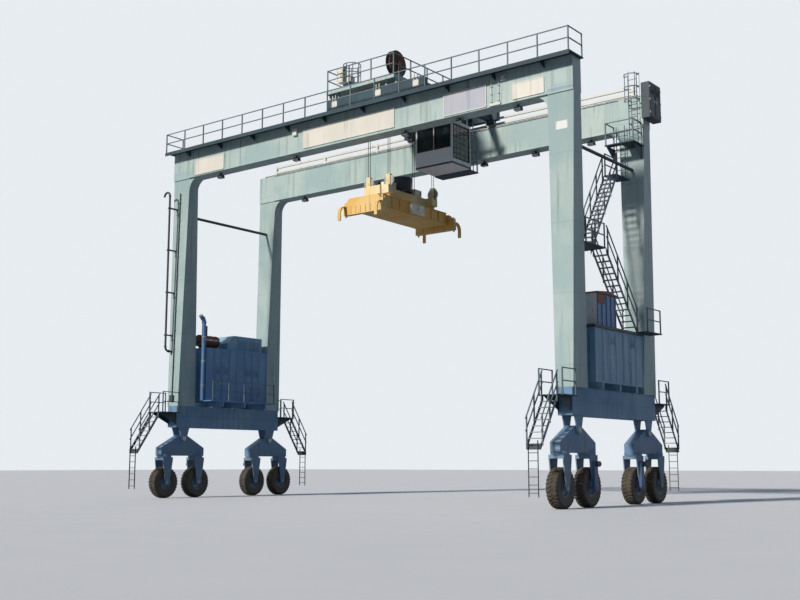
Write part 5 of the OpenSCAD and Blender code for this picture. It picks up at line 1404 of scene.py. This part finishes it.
def makeEndFittings():
    lockX, lockY = slideEnd["lock"]
    foot, head = slideEnd["housing"]
    for name, body, way in (("spreader_end_near", "near_end", -1), ("spreader_end_far", "far_end", 1)):
        shape = bmesh.new()
        y = way * lockY
        for x in (load["x"] - lockX, load["x"] + lockX):
            addBlock(shape, (x - 0.07, y - 0.1, foot), (x + 0.07, y + 0.1, head), 0)
            addLathe(shape, [(0.0, 0.0), (0.05, 0.0), (0.05, 0.05), (0.03, 0.07), (0.0, 0.07)], (x, y, head),
                     (0, 0, 1), 24, 1)
            addLathe(shape, [(0.028, 0.0), (0.052, 0.012), (0.048, 0.03), (0.03, 0.045), (0.028, 0.045)],
                     (x, way * slideEnd["collar"][0], slideEnd["collar"][1]), (0, 0, 1), 24, 1, closed=True)
            for edge, side in ((-1, "left"), (1, "right")):
                guideY, guideZ = slideEnd["guide"]
                face = wall(side, x + edge * slideEnd["guideFace"], way * guideY, guideZ)
                addBolts(shape, face, [(0, 0.37), (0.37 * way * edge, -0.15)], 0.03, 0.015, 1)
        out = wall("rear" if way > 0 else "front", load["x"], way * slideEnd["out"])
        for a in slideEnd["ribs"]:
            addSlab(shape, out, (a - 0.012, slideEnd["rib"][0], 0), (a + 0.012, slideEnd["rib"][1], 0.03), 0)
        finishPiece(shape, name.replace("_", "") + "Fittings", ("yellowPaint", "bareSteel"), body,
                    0.003)


stages = {
    "girder and leg fittings made": (makeBoards, makeLamps, makeGirderFittings, makeLegConduits,
                                     makeRailClips),
    "side frame fittings made": (makeHouseFittings, makeRoofCabinet, makeExhaust, makeEndCabinet, makeStairs),
    "bogie fittings made": (makePinKeepers, makeDrives),
    "trolley and spreader made": (makeHoist, makeTrolleyFittings, makeTrolleyRailing, makeLookoutBox,
                                  makeCabin,
                                  makeHeadblockFittings, makeFrameFittings, makeEndFittings),
}
for message, makers in stages.items():
    for make in makers:
        make()
    print(message)

# pale floor and soft light: a broad key from the side of the girder boards, a weaker one from behind
# a lamp is given as (strength, how soft in degrees, the way it shines)
studio = {"floor": 260.0, "pale": ("dfe3e8", "e6e9ed"), "dim": "8a8f96", "rough": 0.9,
          "lamps": {"key": (3.4, 6.0, (1.2, 6.1, -3.65)), "back": (0.16, 25.0, (3.0, -5.0, -3.4))},
          "lampColour": (1.0, 0.94, 0.86), "sky": (0.28, 0.52, 1.0), "skyLevel": 0.12,
          "backdrop": (0.80, 0.84, 0.88)}


def makeFloor():
    half = studio["floor"]
    mesh = bpy.data.meshes.new("floor")
    mesh.from_pydata([(-half, -half, 0), (half, -half, 0), (half, half, 0), (-half, half, 0)], [],
                     [(0, 1, 2, 3)])
    material, tree, shader, where = startMaterial("floorFinish")
    seen = tree.nodes.new("ShaderNodeLightPath").outputs["Is Camera Ray"]
    pale = blendColour(tree, noise(tree, where, 0.4, 3.0), *[colour(tone) for tone in studio["pale"]])
    feed(tree, shader.inputs["Base Color"], blendColour(tree, seen, colour(studio["dim"]), pale))
    shader.inputs["Roughness"].default_value = studio["rough"]
    mesh.materials.append(material)
    floor = bpy.data.objects.new("floor", mesh)
    scene.collection.objects.link(floor)


def setLight():
    for name, (power, soft, aim) in studio["lamps"].items():
        light = bpy.data.objects.new(name, bpy.data.lights.new(name, "SUN"))
        light.data.energy, light.data.angle = power, math.radians(soft)
        light.data.color = studio["lampColour"]
        light.rotation_euler = Vector(aim).to_track_quat("-Z", "Y").to_euler()
        scene.collection.objects.link(light)
    world = bpy.data.worlds.new("studio")
    scene.world = world
    world.use_nodes = True
    tree = world.node_tree
    tree.nodes.clear()
    path = tree.nodes.new("ShaderNodeLightPath").outputs
    mirrorRays = maths(tree, "MAXIMUM", path["Is Glossy Ray"], path["Is Transmission Ray"])
    seen = maths(tree, "MAXIMUM", path["Is Camera Ray"], mirrorRays)
    glow = addNode(tree, "ShaderNodeBackground", None, Color=(*studio["sky"], 1), Strength=studio["skyLevel"])
    shown = addNode(tree, "ShaderNodeBackground", None, Color=(*studio["backdrop"], 1), Strength=1.0)
    mixed = addNode(tree, "ShaderNodeMixShader", None, i0=seen, i1=glow.outputs[0], i2=shown.outputs[0])
    addNode(tree, "ShaderNodeOutputWorld", None, i0=mixed.outputs[0])
    scene.view_settings.view_transform = "Standard"


makeFloor()
setLight()
print("studio set")
